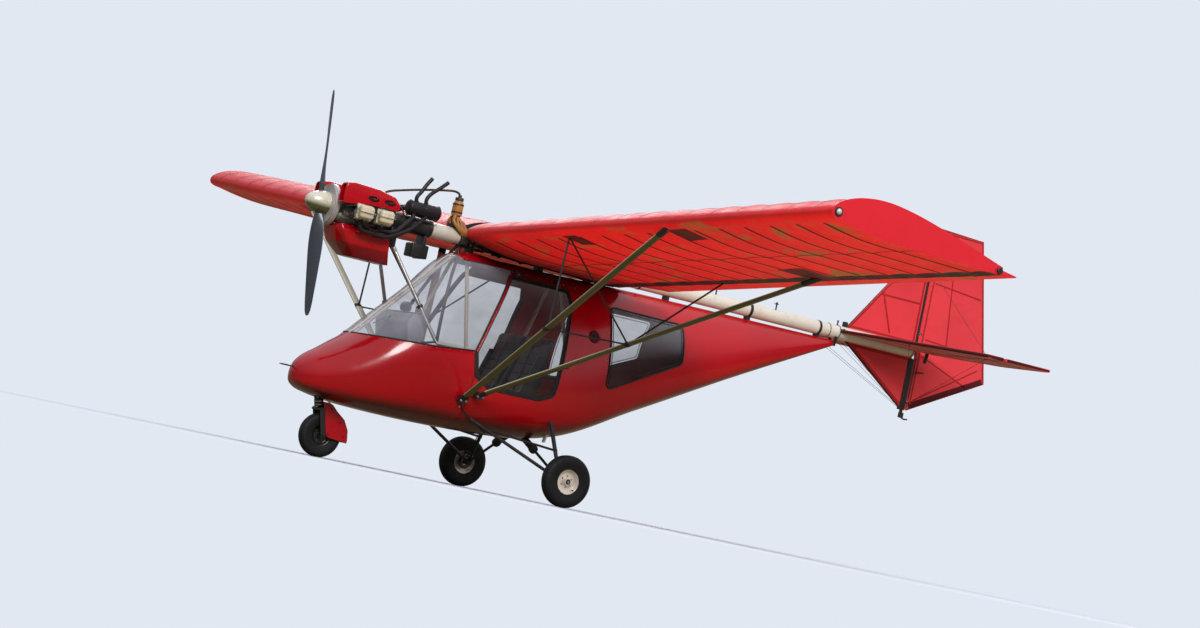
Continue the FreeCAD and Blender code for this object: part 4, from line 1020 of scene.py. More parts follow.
for k, (y, z, r) in enumerate(((52, 75, 20), (45, 110, 17), (-45, 85, 19), (0, 55, 20))):
    rags.append(hose([(120 + 10 * k, y, z), (100, y * 1.15, z - 30), (70 - 10 * k, y * 1.2, z - 60)],
        [r * 0.5] * 16 + [r * 0.4], 10, 8))
piece("bottle_lines", rags, "hose")
wraps = []
for k in range(7):
    side = (-1) ** k
    wraps.append(hose([(135 - 12 * k, side * 35, 150 - 6 * k), (150 - 20 * k, side * 62, 100 - 8 * k),
        (100 - 16 * k, side * 80, 45 - 4 * k), (50 - 12 * k, side * 68, 12)], 12.5, 10, 6))
piece("bottle_wraps", wraps, "amber")

battery = [box(312, 455, -62, 62, -236, -132, 10), box(330, 440, -50, 50, -140, -128, 4),
    box(350, 372, -66, 66, -240, -62, 2)]
battery += both(lathe(at(345, 30, -130), Z, [(7, 0), (7, 12)], 16))
piece("ignition_unit", battery, "black", replaces="ignition_box")

# What fills the gaps round the engine: carburettors, pump, magneto drives, hoses and controls.
shiny = both(lathe(at(1105, 135, -35), Y, [(30, 0), (34, 6), (34, 40), (26, 46), (26, 60), (12, 64)], 28),
    box(1070, 1130, 104, 150, -90, -50, 6),
    lathe(at(1140, 160, -75), X, [(20, 0), (22, 4), (22, 22), (12, 30)], 20))
fill = both(box(915, 952, 150, 250, -70, 30, 5), box(1095, 1150, 170, 232, -30, 12, 6),
    box(735, 790, 110, 200, -60, 30, 8),
    lathe(at(700, 165, 0), Y, [(22, 0), (26, 4), (26, 30), (18, 36)], 24))
fill += [box(780, 900, -45, 45, 108, 140, 10), lathe(at(840, 0, 140), Z, [(20, 0), (20, 20), (10, 26)], 20)]
lines = both(hose([(1130, 200, -10), (1090, 235, -60), (1020, 200, -106), (900, 150, -110), (760, 120, -90)],
    7, 10), hose([(700, 190, 10), (660, 200, 50), (680, 150, 100), (780, 100, 120), (850, 50, 118)], 6, 10),
    hose([(930, 250, 30), (870, 300, 45), (770, 240, 30), (720, 170, 20)], 5, 10))
for dx in (18, -26):
    lines += both(hose([(1018 + dx, 290, -75), (990, 270, -110), (900, 235, -128), (780, 200, -130 + dx),
        (690, 150, -100)], 4.5, 8))
piece("engine_accessories", fill, "black")
piece("pumps_and_carburettors", shiny + bails, "alloy")
piece("engine_lines", lines, "trim")

# Propeller: two plates and a rim on the shaft, two carbon blades and the spinner.
hub = [lathe(at(1196, 0, 0), X, [(23, 0), (150, 0), (155, -2), (155, -28), (152, -30), (147, -30), (145, -28),
    (145, 8), (150, 14), (50, 14), (46, 20), (46, 90), (42, 98), (23, 98)], 72)]
for k in range(6):
    a = math.pi * k / 3
    hub.append(bolt(at(1294, 33 * math.cos(a), 33 * math.sin(a)), X))
piece("hub_and_rim", hub, "pale", "propeller", replaces="propeller_hub")
profile = [(88 * 0.999, 0), (88, 4)] + [(88 * math.cos(a) ** 0.86, 4 + 168 * math.sin(a) ** 1.02)
    for a in (math.pi / 2 * k / 22 for k in range(1, 22))] + [(2, 171.6)]
piece("spinner_shell", lathe(at(1210, 0, 0), X, profile, 64), "spinner", "propeller", replaces="spinner")

BLADE_X, BLADE_LEAN = 1258, math.radians(11.5)


def blade():
    """Lofted blade: at each radius its chord, thickness and pitch in degrees."""
    marks = [20, 60, 150, 300, 520, 700, 800, 850, 875]
    values = [(52, 46, 62), (56, 38, 58), (92, 30, 46), (126, 22, 31), (118, 15, 21), (96, 10.5, 15.5),
        (78, 8, 13), (58, 5.5, 11.5), (30, 3.6, 11)]
    rows = []
    where = np.linspace(20, 875, 60)
    for radius, (chord, thick, pitch) in zip(where, hermite(marks, values, where)):
        turn = math.radians(90 - pitch)
        ring_points = []
        for k in range(28):
            a = 2 * math.pi * k / 28
            along = math.cos(a) * chord / 2
            across = math.sin(a) * thick / 2 * (1 - 0.35 * math.cos(a + math.pi)) * 0.9
            x = along * math.cos(turn) - across * math.sin(turn)
            y = along * math.sin(turn) + across * math.cos(turn)
            ring_points.append(at(BLADE_X + x, y * math.cos(BLADE_LEAN) - radius * math.sin(BLADE_LEAN),
                y * math.sin(BLADE_LEAN) + radius * math.cos(BLADE_LEAN)))
        rows.append(ring_points)
    return grid(rows)


one = blade()
other = ([Vector((v.x, -v.y, 2 * ORIGIN_Z - v.z)) for v in one[0]], one[1])
cuffs = []
for sign in (1, -1):
    way = Vector((0, -math.sin(BLADE_LEAN), math.cos(BLADE_LEAN))) * sign
    cuffs.append(lathe(at(BLADE_X, 0, 0) + way * 30, way, [(30, 0), (30, 50), (26, 58)], 32))
piece("blades", [one, other], "blade", "propeller", crease=60, replaces="propeller_blades")
piece("blade_clamps", cuffs, "steel", "propeller")

# Trims that follow the skin: seals round doors and windows, the screen's edge, seams and the brake line.
SCAN = np.linspace(0, 1, 500)
SCAN_X = pod_points(SCAN, [0.0])[:, 0, 0]
HALF_TURN = np.linspace(0, 0.5, 160)


def skin(x, z, lift=0):
    """Point on the pod's port surface, given in the side view."""
    t = np.interp(-x, -SCAN_X, SCAN)
    u = np.interp(z, pod_points(t, HALF_TURN)[0][:, 2], HALF_TURN)
    p, a, b = pod_points(t, [u, u - 0.004, u + 0.004])[0]
    c, d = pod_points([max(0, t - 0.003), min(1, t + 0.003)], [u])[:, 0]
    normal = np.cross(b - a, d - c)
    normal *= (1 if normal[1] > 0 else -1) * lift / np.linalg.norm(normal)
    return at(*(p + normal))


def trace(outline, closed=False, step=30):
    """Points every few centimetres along a side-view outline."""
    points = list(outline) + ([outline[0]] if closed else [])
    out = []
    for a, b in zip(points[:-1], points[1:]):
        n = max(1, round((b - a).length / step))
        out.extend(a + (b - a) * k / n for k in range(n))
    return out + [points[-1]]


def bead(outline, radius, lift=0, closed=False):
    """Round trim on both sides of the pod."""
    return both(tube([skin(p.x, p.y, lift) for p in trace(outline, closed)], radius, 8))


def studs(outline, pitch, radius=4, lift=1):
    """Rivet heads along an outline on both sides of the pod."""
    out = []
    for p in trace(outline, False, pitch):
        a, b = skin(p.x, p.y, lift), skin(p.x, p.y, lift + 10)
        out += both(lathe(a, b - a, [(radius, 0), (radius * 0.9, radius * 0.4),
            (radius * 0.45, radius * 0.75)], 10))
    return out


base_line = side_view((795, -899), (700, -894), (300, -877), (-6, -847))
roof_line = side_view((73, -177), (-100, -177), (-290, -177), (-899, -177))
seals = bead(offset(DOOR, 4), 5.5, 1, True) + bead(offset(WINDOW, 3), 7.5, 1, True)
seals += bead(offset(WINDOW, -18), 3, 0, True) + bead(base_line, 6, 1)
piece("rubber_seals", seals, "trim")
piece("edge_strips", bead(roof_line, 5, 1) + bead(side_view((-29, -849), (-46, -1000), (-24, -1400)), 2.2),
    "tape_and_shade")
piece("screen_rivets", studs(side_view((745, -908), (300, -889), (-4, -859)), 88)
    + studs(side_view((60, -190), (-890, -190)), 120) + studs(side_view((-1215, -262), (-1215, -900)), 110,
    3), "silver")
line = [skin(x, z, 4) for x, z in ((10, -1245), (-20, -1290), (-90, -1335), (-180, -1375), (-270, -1405),
    (-360, -1428))]
piece("brake_lines", both(tube(spline(line, 8), 5, 10)), "trim")

# Door hinges' eyes, the doors' front tube and the handles.
eyes = []
for x in (-362, -330, -722, -690):
    eyes += [lathe(at(x, 348, -196), X, [(4.1, 0), (9, 0), (9, 12), (4.1, 12)], 24, closed=True),
        box(x, x + 12, 343, 354, -240, -200, 1.5), box(x, x + 12, 318, 354, -240, -229, 1.5)]
pair("door_eyes", eyes, "steel", "door_{}")
front = [skin(p.x, p.y, 2) for p in trace(side_view((-268, -236), (-30, -850)))]
pair("door_front_tube", [tube(front, 8.5, 12)], "red", "door_{}")
knob = skin(-762, -830, 4)
handle = [lathe(knob, (0.1, 1, 0), [(20, 0), (20, 6), (10, 8), (10, 20)], 20),
    bar(knob + Vector((12, 20, -4)), knob + Vector((-70, 22, 12)), 14, 16, 4, Z)]
pair("door_handle", handle, "black", "door_{}")

# Fuel filler, recessed in a ring behind the port door.
spot, out_spot = skin(-1070, -530, 0), skin(-1070, -530, 20)
axis = (out_spot - spot).normalized()
filler = [lathe(spot, axis, [(36, 1), (50, 1), (52, 4), (48, 7), (37, 7), (35, 2)], 40),
    ring(spot, axis, 45, 4, 40)]
piece("filler_ring", filler, "tape_and_shade")
piece("filler_cap", [lathe(spot, axis, [(35, -10), (35, 3), (30, 3), (28, 1), (12, 1), (12, 9),
    (9, 12)], 36)], "trim")

# Cabin: frame tubes, seats with pads and belts, panel, stick, pedals and controls.
corner = at(52, 482, -850)
stays = both(tube([at(-6, 90, -120), corner], 14, 20), tube([corner, at(2, 471, -1285)], 14, 20),
    tube([corner, STAY_FOOT], 14, 20), pipe([(-880, 50, -122), (-880, 455, -885), (-880, 458, -912),
    (-880, 305, -1405)], 14, 20), lathe(corner - Z * 20, Z, [(15.5, 0), (17.5, 2), (17.5, 38), (15.5, 40)],
    24))
stays += [pipe([(-880, 455, -900), (-880, -455, -900)], 14, 20),
    pipe([(770, 0, -905), (75, 0, -165)], 14.8, 24)]
piece("cabin_tubes", stays, "cream", replaces="cabin_frame")
outer_strip = []
for x in np.linspace(790, 72, 60):
    t = np.interp(-x, -SCAN_X, SCAN)
    top = pod_points(t, [0.5])[0, 0]
    outer_strip.append([at(x, -12.5, top[2] - 1), at(x, -12.5, top[2] + 2.2), at(x, 12.5, top[2] + 2.2),
        at(x, 12.5, top[2] - 1)])
piece("screen_centre_strip", grid(outer_strip), "cream")

SEAT_Y = 215
SEAT = [(-130, -1282), (-118, -1245), (-150, -1192), (-520, -1192), (-562, -1150), (-690, -690), (-700, -640),
    (-725, -618), (-752, -630), (-700, -1010), (-668, -1180), (-620, -1282)]
SEAT_WING = [(-180, -1260), (-190, -1180), (-475, -1176), (-545, -1030), (-640, -760), (-716, -760),
    (-660, -1180), (-620, -1260)]
shell = [slab(SEAT, SEAT_Y - 184, SEAT_Y + 184, 12, 4), slab(SEAT_WING, SEAT_Y - 185.5, SEAT_Y - 152, 10, 4),
    slab(SEAT_WING, SEAT_Y + 152, SEAT_Y + 185.5, 10, 4)]
pair("seat_shell", shell, "seat", replaces="seat_{}")
pads = [slab([(-160, -1189), (-160, -1176), (-200, -1172), (-470, -1172), (-500, -1189)],
    SEAT_Y - 142, SEAT_Y + 142, 9, 4)]
low, high = Vector((-553, -1180)), Vector((-682, -710))
for k in range(5):
    p, q = (low + (high - low) * (k * 0.17 + share) for share in (0.03, 0.19))
    inner, lift = Vector((4, 0)), Vector((16, 4))
    pads.append(slab([p + inner, p + lift, q + lift, q + inner], SEAT_Y - 142, SEAT_Y + 142, 7, 4))
pads.append(slab([(-672, -700), (-655, -690), (-672, -630), (-700, -622), (-700, -660)],
    SEAT_Y - 100, SEAT_Y + 100, 8, 4))
for cushion in pair("seat_pads", pads, "pad"):
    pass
belts = [box(-430, -380, SEAT_Y - 24, SEAT_Y + 24, -1170, -1155, 4)]
STRAP = [(-710, -620, 0.6), (-665, -650, 0.7), (-610, -780, 0.9), (-545, -1000, 1.1), (-500, -1130, 1),
    (-420, -1163, 0.6)]
for dx in (-75, 75):
    belts += [pipe([(x, SEAT_Y + dx * share, z) for x, z, share in STRAP], 4.2, 8),
        bar(at(-500, SEAT_Y + dx * 1.9, -1165), at(-400, SEAT_Y + dx * 0.5, -1160), 42, 3, 1, X)]
pair("seat_belts", belts, "belt")
panel_box = [slab([(300, -880), (302, -702), (330, -690), (400, -662), (430, -672), (470, -740), (440, -880)],
    -270, 270, 14, 5), box(360, 430, -60, 60, -1382, -880, 12),
    slab([(285, -700), (300, -694), (400, -652), (402, -660), (300, -704)], -275, 275, 3)]
piece("panel_pod", panel_box, "grey", replaces="instrument_pod")
dials, needles = [], []
for y, z, r in ((-210, -760, 40), (-115, -760, 40), (-20, -755, 42), (75, -760, 40), (170, -760, 40),
        (-190, -835, 26), (-120, -840, 26), (-50, -840, 26), (20, -840, 26)):
    dials.append(lathe(at(301.5, y, z), -X, [(r + 4, 0), (r + 4, 4), (r, 5), (r - 3, 1), (1, 1)], 36))
    needles.append(bar(at(298.5, y, z), at(298.5, y + r * 0.5, z + r * 0.5), 3, 1, 0.4, (0, 1, -1)))
for k in range(5):
    dials.append(lathe(at(301.5, 100 + 30 * k, -840), -X, [(6, 0), (4, 4), (3, 16)], 12))
dials += [lathe(at(360, -20, -682), Z, [(30, 0), (30, 10), (12, 16), (12, 30), (34, 34), (43, 50), (45, 70),
    (40, 90), (26, 103), (8, 108)], 32), box(330, 352, 120, 200, -700, -600, 6)]
piece("dials_and_compass", dials, "black")
piece("dial_needles", needles, "pale")
lever = [tube(spline([at(70, 0, -1382), at(60, 0, -1200), at(22, 0, -1000), at(18, 0, -975)], 6), 12.5, 16),
    lathe(at(21, 0, -985), (-0.12, 0, 1), [(14, 0), (19, 8), (17, 30), (19, 55), (16.5, 85), (19, 108),
    (14, 122), (4, 126)], 24), lathe(at(70, 0, -1384), Z, [(60, 0), (60, 6), (45, 16), (30, 40),
    (20, 50)], 28)]
piece("stick_and_boot", lever, "black", replaces="control_stick")
feet = both(pipe([(500, 80, -1370), (500, 350, -1370)], 10, 12))
for y in (130, 300):
    feet += both(pipe([(500, y, -1380), (540, y, -1200)], 9, 12),
        box(522, 545, y - 50, y + 50, -1240, -1190, 6))
feet += [pipe([(-200, 0, -1380), (-100, 0, -1280), (-80, 0, -1200)], 8, 12),
    lathe(at(-80, 0, -1200), (0.1, 0, 1), [(8, 0), (15, 6), (15, 30), (8, 36)], 16)]
piece("pedals_and_lever", feet, "steel")
loom = both(hose([(30, 60, -120), (100, 120, -260), (180, 240, -520), (230, 330, -740), (250, 370, -830)],
    13, 10))
loom += [hose([(250, 360, -840), (300, 300, -860), (370, 200, -870)], 8, 10),
    hose([(380, -100, -690), (480, -50, -720), (600, -20, -790)], 5, 8)]
piece("cabin_loom", loom, "trim")

# Landing gear and wheels.
NOSE_X, NOSE_Z = 863, -1703
main_hub, nose_hub = at(-843, 812, -1670), at(NOSE_X, 0, NOSE_Z)
inner = main_hub - Y * 92
leg_top, drag_top, foot = at(-815, 430, -1190), at(-100, 430, -1340), at(-800, 60, -1370)
brace_ends = drag_top + (inner - drag_top) * 0.2, leg_top + (inner - leg_top) * 0.55
way = (inner - foot).normalized()
gear = both(rod(inner - Y * 20, main_hub + Y * 36, 12), rod(leg_top, inner, 15), rod(drag_top, inner, 13),
    rod(*brace_ends, 9), rod(foot + (inner - foot) * 0.3, inner, 11),
    lathe(inner - Y * 30, Y, [(18, 0), (24, 4), (24, 50), (18, 54)], 28))
gear += both(*(ring(place, axis, r, 3.5, 24, 8) for place, axis, r in ((brace_ends[0], inner - drag_top,
    13.5), (brace_ends[1], inner - leg_top, 15.5))))
piece("gear_tubes", gear, "black", replaces="main_gear")
bellows = [(22, 0)]
for k in range(11):
    bellows += [(27.5, 20 + 18 * k), (21.5, 29 + 18 * k)]
bellows += [(34, 232), (36, 250), (34, 266), (14, 270)]
piece("shock_boots", both(lathe(foot, way, bellows, 28)), "trim")
gear_bolts = both(bolt(main_hub + Y * 34, Y, 9), bolt(inner + Vector((20, -4, 30)), X))
piece("gear_bolts", gear_bolts, "silver")
cable = [inner + Vector((20, 0, 30)), inner + (leg_top - inner) * 0.3 + Vector((20, 10, 0)),
    inner + (leg_top - inner) * 0.7 + Vector((22, 6, 0)), leg_top + Vector((30, 20, -20))]
calliper = box(-880, -820, 745, 775, -1610, -1575, 6)
piece("brake_cables", both(tube(spline(cable, 8), 4, 8), calliper), "trim")


def tyre(centre, outer, width, bead):
    """Tyre with two grooves on each half of its crown."""
    half = width / 2
    side = [(bead * 0.93, half * 0.72), (bead * 0.96, half * 0.8),
        (bead + 0.25 * (outer - bead), half * 0.92), (bead + 0.48 * (outer - bead), half),
        (bead + 0.7 * (outer - bead), half * 0.97), (outer - 0.16 * (outer - bead), half * 0.86),
        (outer - 0.06 * (outer - bead), half * 0.68)]
    wall = [(p.x, p.y) for p in spline([Vector((r, y, 0)) for r, y in side], 3)]
    crown = []
    for groove in (0.42, 0.14):
        y = half * groove
        crown += [(outer - 4 * groove, y + 3.5), (outer - 6, y + 1.6), (outer - 6, y - 1.6),
            (outer - 3 * groove, y - 3.5)]
    rows = wall + crown
    rows += [(r, -y) for r, y in reversed(rows)]
    return lathe(centre, Y, rows, 96, closed=True)


def rim(centre, radius, width):
    """Rim dished on its outer face, round a hub tube."""
    w = width * 0.3
    outer = [(12.5, w * 1.12), (26, w * 1.12), (27, w), (29, w * 0.34), (radius * 0.62, w * 0.22),
        (radius * 0.74, w * 0.34), (radius * 0.84, w * 0.8), (radius * 0.9, w),
        (radius * 0.955, w * 1.06), (radius * 0.99, w * 1.14), (radius * 1.02, w * 1.12), (radius * 1.02, w)]
    return lathe(centre, Y, outer + [(r, -y) for r, y in reversed(outer)], 72, closed=True)


VALVE_TURN = 3.9
for centre, outer, width, bead_r, name in ((main_hub, 200, 104, 102, "main_{}_port"),
        (at(-843, -812, -1670), 200, 104, 102, "main_{}_starboard"), (nose_hub, 167, 88, 84, "nose_{}")):
    body = "nose_wheel" if "nose" in name else name.format("wheel")
    piece(name.format("tyre") + "_tread", tyre(centre, outer, width, bead_r), "rubber", body, crease=50,
        replaces=name.format("tyre"))
    # The nose rim takes the dark steel finish where the main rims are cream: painted shade, as it sits in
    # shade behind its guard.
    piece(name.format("rim") + "_dish", rim(centre, bead_r, width), "steel" if "nose" in name else "cream",
        body, replaces=name.format("rim"))
    small = []
    w = width * 0.3
    for side in (1, -1):
        for k in range(6):
            a = math.pi * (k + 0.5) / 3
            small.append(bolt(centre + Vector((44 * math.cos(a), side * w * 0.24, 44 * math.sin(a))),
                (0, side, 0), 5))
    valve = centre + Vector((bead_r * 0.78 * math.cos(VALVE_TURN), w * 0.4,
        bead_r * 0.78 * math.sin(VALVE_TURN)))
    small.append(lathe(valve, Y, [(4, 0), (4, 14), (5, 15), (5, 22)], 12))
    small.append(lathe(centre, Y, [(13.5, w * 1.12), (20, w * 1.12), (20, w * 1.2), (13.5, w * 1.22)], 28,
        closed=True))
    if "main" in name:
        s = 1 if centre.y > 0 else -1
        small.append(lathe(centre, (0, -s, 0), [(30, w), (58, w * 1.06), (58, w * 1.16),
            (30, w * 1.18)], 48, closed=True))
    piece(name.format("wheel") + "_bolts", small, "steel", body)

leg_root = at(942, 0, -1396)
way = (leg_root - nose_hub).normalized()
crown = nose_hub + way * 197
fork = []
for s in (1, -1):
    out = Y * (s * 60)
    fork.append(strut(nose_hub + out - way * 20, crown + out, 44, 14))
    fork.append(bolt(nose_hub + Y * (s * 69), Y * s, 10))
fork.append(strut(crown - Y * 67, crown + Y * 67, 54, 30))
fork.append(rod(nose_hub - Y * 70, nose_hub + Y * 70, 12))
fork.append(rod(crown, crown + way * 70, 12))
piece("fork_legs", fork, "black", "nose_fork_assembly", replaces="nose_fork")
GUARD_Y = 56.2
spats = both(*(bolt(at(NOSE_X - x, GUARD_Y, NOSE_Z + z), Y, 4.5)
    for x, z in ((30, 210), (120, 120), (170, 20), (40, 20))))
hem = [Vector((NOSE_X - a, NOSE_Z + z)) for a, z in ((2, 250), (34, 236), (82, 194), (150, 146), (194, 74),
    (206, 0), (205, -22), (160, -18), (50, -8), (26, 8))]
spats += both(tube([at(p.x, GUARD_Y, p.y) for p in trace(hem)], 2.2, 8))
piece("guard_fasteners", spats, "tape_and_shade", "nose_fork_assembly")
leg = strut(crown + way * 22, leg_root, 74, 46)
piece("nose_leg_fairing", leg, "black", replaces="nose_leg")
clamps = [lathe(crown + way * (30 + 24 * k), way, [(34, 0), (36, 2), (36, 10), (34, 12)], 32)
    for k in range(2)]
clamps += both(bolt(at(915, 24, -1420), Y, 8), bolt(at(955, 20, -1425), Y, 7),
    bar(at(900, 28, -1418), at(860, 60, -1452), 14, 5, 1.5, Z))
piece("nose_leg_fittings", clamps, "silver")
probe = [lathe(at(1120, 0, -1242), X, [(6, 0), (6, 170), (4.5, 188), (2.5, 192)], 20),
    lathe(at(1178, 0, -1246), X, [(18, 0), (16, 12), (7, 20)], 24)]
piece("pitot", probe, "steel", replaces="pitot_tube")

# Tail: tapes and hems over the cloth, hinge bands, horns, wires and the skid.


def seams(pairs, half, width=22, flat=False, plane=14):
    """Tapes on both faces of a flat surface. Places are (x, z), or (x, y) where it lies flat."""
    out = []
    for k, (a, b) in enumerate(pairs):
        for s in (1, -1):
            reach = s * (half + 0.3 + 0.4 * (k % 4))
            if flat:
                p, q = (at(c[0], c[1], plane + reach) for c in (a, b))
                across = (q - p).cross(Z)
            else:
                p, q = (at(c[0], reach, c[1]) for c in (a, b))
                across = (q - p).cross(Y)
            out.append(bar(p, q, width, 1.2, 0.4, across))
    return out


fin = seams([((-3720, 75), (-4385, 75)), ((-3705, 62), (-4178, 690)), ((-4182, 700), (-4374, 1030)),
    ((-4380, 80), (-4380, 1030)), ((-3950, 400), (-4380, 400)), ((-4215, 780), (-4380, 780)),
    ((-3980, 420), (-4120, 100))], 13, 16)
fin += seams([((-3760, -75), (-4380, -75)), ((-3755, -66), (-4385, -470)), ((-4380, -80), (-4380, -460))],
    13, 22)
piece("fin_tapes", fin, "seam")
rudder_pairs = [((-4470, 1035), (-4893, 1030)), ((-4898, 1030), (-5183, -120)),
    ((-4472, -440), (-4472, 1020)), ((-4490, 600), (-4995, 560)), ((-4620, 1030), (-4735, 50)),
    ((-4490, -20), (-5000, -190)), ((-4500, -400), (-5100, -30)), ((-4500, 120), (-5100, 80))]
piece("rudder_tapes", seams(rudder_pairs, 12, 13), "seam", "rudder_surface")
piece("rudder_hem", seams([((-4460, -455), (-5170, -113))], 12.4, 50), "tape_and_shade", "rudder_surface")
RUDDER_HINGES = (-430, 150, 620, 980)
laces = []
for k in range(34):
    z = -400 + k * 42
    if min(abs(z - m) for m in RUDDER_HINGES) > 22:
        laces += both(bar(at(-4458, 12.7, z), at(-4478, 12.7, z + 14), 3, 1.5, 0.5, Z))
laces += both(rod(at(-4447, 4, -412), at(-4447, 4, -50), 10.2, 16),
    rod(at(-4447, 4, -475), at(-4447, 4, -446), 10.2, 16))
piece("rudder_lacing", laces, "steel", "rudder_surface")
horn = both(bar(at(-4484, 12, -170), at(-4470, 100, -165), 50, 4, 1.5, X), bolt(at(-4471, 95, -163), Z, 5))
piece("rudder_horn", horn, "black", "rudder_surface")
elevator = seams([((-4470, 150), (-4470, 1190)), ((-4460, 1195), (-4885, 1195)),
    ((-4882, 1190), (-4858, 660)), ((-4852, 650), (-4520, 110)), ((-4480, 660), (-4850, 660)),
    ((-4480, 950), (-4865, 950)), ((-4480, 380), (-4660, 380))], 12, 13, True)
pair("elevator_tapes", elevator, "seam", "elevator_{}_surface")
pair("elevator_horn", [bar(at(-4470, 120, 0), at(-4455, 120, -85), 35, 4, 1.5, X)], "black",
    "elevator_{}_surface")
stab = both(*seams([((-3640, 75), (-4250, 1185)), ((-4260, 1195), (-4400, 1195)),
    ((-4395, 80), (-4395, 1190)), ((-3980, 660), (-4390, 660)), ((-4140, 950), (-4390, 950)),
    ((-3820, 380), (-4390, 380)), ((-3660, 70), (-4390, 70))], 13, 15, True))
piece("stabiliser_tapes", stab, "seam")
post = [rod(at(-4405, 0, -530), at(-4405, 0, -58), 14), rod(at(-4405, 0, 58), at(-4405, 0, 1050), 14),
    lathe(at(-4384.5, 0, 0), -X, [(57.4, 0), (57.4, 6), (50, 9), (20, 10)], 48),
    box(-4435, -4387, -9, 9, -566, -520, 4), hose([(-4405, 0, -540), (-4420, 0, -562), (-4450, 0, -572),
    (-4485, 0, -568)], 6.5, 12)]
for z in RUDDER_HINGES:
    post += [box(-4450, -4405, -8, 8, z - 4, z + 4, 1.5),
        rod(at(-4442, 0, z - 22), at(-4442, 0, z + 22), 4, 16)]
post += [box(-4428.5, -4410, -9, 9, 64, 1044, 2), box(-4428, -4366, -15.8, 15.8, -500, -64, 5)]
post += both(bolt(at(-4405, 12, -500), Y), bolt(at(-4415, 9, -530), Y, 5))
piece("post_and_skid", post, "black", replaces="tail_post")
# The lower pipe is the ventral fin's leading edge; its dark colour also stands in for the shade along that
# edge.
piece("fin_piping", [pipe([(-3690, 0, 45), (-4178, 0, 690), (-4370, 0, 1036), (-4400, 0, 1037)], 13.8, 12),
    pipe([(-3700, 0, -45), (-4400, 0, -490)], 13.8, 12)], "tape_and_shade")
piece("rudder_piping", pipe([(-4452, 0, 1050), (-4900, 0, 1042), (-5193, 0, -126), (-4449, 0, -486)],
    12.8, 12), "tape_and_shade", "rudder_surface")
pair("stabiliser_piping", [pipe([(-3615, 50, 14), (-4253, 1204, 14), (-4405, 1204, 14)], 13.8, 12)], "tape_and_shade")
pair("elevator_piping", [pipe([(-4450, 1204, 14), (-4889, 1204, 14), (-4862, 660, 14), (-4499, 94, 14)],
    12.8, 12)], "tape_and_shade", "elevator_{}_surface")
wires = both(pipe([(-4398, 1000, 26), (-4385, 14, 740)], 1.6, 8),
    pipe([(-4398, 1000, 2), (-4400, 14, -470)], 1.6, 8), pipe([(-3950, 550, 0), (-4395, 14, -480)], 1.4, 8),
    pipe([(-3520, 30, -130), (-4390, 12, -490)], 1.4, 8),
    *(lathe(at(*place), Z, [(8, 0), (8, 4), (4, 6)], 10) for place in ((-4398, 1000, 28), (-4398, 1000, -4),
    (-3950, 550, -4))))
piece("tail_wires", wires, "steel")
ends = [ring(at(x, 0, 0), X, 58, 3.5, 56, 8) for x in (-3600, -3500, -4370)]
ends += both(box(-3660, -3600, 30, 75, -2, 30, 4), bolt(at(-3630, 60, 30), Z, 7),
    bar(at(-3575, 45, -40), at(-3575, 30, -120), 30, 6, 2, X), bolt(at(-3575, 46, -75), Y, 7),
    box(-4430, -4390, 30, 100, 26, 34, 3))
ends += [box(-3690, -3650, -14, 14, 56, 100, 4),
    lathe(at(-3580, 20, 55), Z, [(6, 0), (6, 30), (9, 32), (9, 40)], 14)]
piece("boom_end_fittings", ends, "black")

# Wing fittings: strut ends, spar caps, aileron ribs, root gear along the boom.
ribs = []
for y in [400 + 300 * k for k in range(15)]:
    hx, hz = -1438, wing_z(y) - 100
    chord = 275 - 0.11 * (y - 360) / 4.38
    for top in (1, -1):
        p = at(hx, y, hz + top * 21.3)
        q = at(hx + 21 - chord + 3, y, hz + (1.7 if top > 0 else -7.7))
        ribs.append(bar(p, q, 11, 1, 0.3, Y))
pair("aileron_tapes", ribs, "seam", "aileron_{}_surface")
sleeves, pins = [], []
for foot, top in ((front_foot, front_top), (rear_foot, rear_top)):
    way = top - foot
    sleeves += both(strut(foot + way * (STRUT_SHARE - 0.05), foot + way * (STRUT_SHARE + 0.003), *SLEEVE),
        strut(foot, foot + way * 0.022, *SLEEVE))
    pins += both(bolt(foot + way * 0.012 + Vector((0, 12, 12)), (0, 1, 1), 8),
        bolt(foot + way * (STRUT_SHARE - 0.012) + Vector((0, 0, -15)), (0, 0.4, -1), 7))
    sleeves += both(bar(foot + way * (STRUT_SHARE - 0.012), top + Y * 12, 50, 8, 2, X))
for x, y, z in ((13, 542, -1234), (-100, 578, -1181)):
    pins += both(bolt(at(x + 22, y, z), Y, 7), bolt(at(x - 22, y, z), Y, 7))
piece("strut_end_sleeves", sleeves, "black")
piece("strut_pins", pins, "silver")
low_front, low_rear = front_foot + (front_top - front_foot) * 0.42, rear_foot + (rear_top - rear_foot) * 0.44
high_front = at(-30, low_front.y, wing_z(low_front.y) - 75)
high_rear = at(-1380, low_rear.y, wing_z(low_rear.y) - 125)
jury = both(rod(low_front, low_rear, 6), rod(low_front, high_front, 7.5), rod(low_rear, high_rear, 7),
    rod(high_front + Vector((-8, 0, 0)), low_rear, 6.5), *(strut(p - way * 18, p + way * 18, *SLEEVE)
    for p, way in ((low_front, (front_top - front_foot).normalized()),
    (low_rear, (rear_top - rear_foot).normalized()))))
piece("jury_tubes", jury, "black", replaces="jury_struts")
z_tip = wing_z(TIP)
caps = both(lathe(at(-18, 4800, z_tip - 6), Y, [(32, 0), (32, 5), (26, 8), (20, 8)], 36),
    lathe(at(-1384, 4800, z_tip - 100), Y, [(22, 0), (22, 12), (18, 16)], 28))
piece("tip_caps", caps, "black", replaces="spar_end_caps")
piece("tip_cones", both(lathe(at(-18, 4806, z_tip - 6), Y, [(21, 0), (20, 4), (12, 12), (3, 16)], 28)),
    "pale")
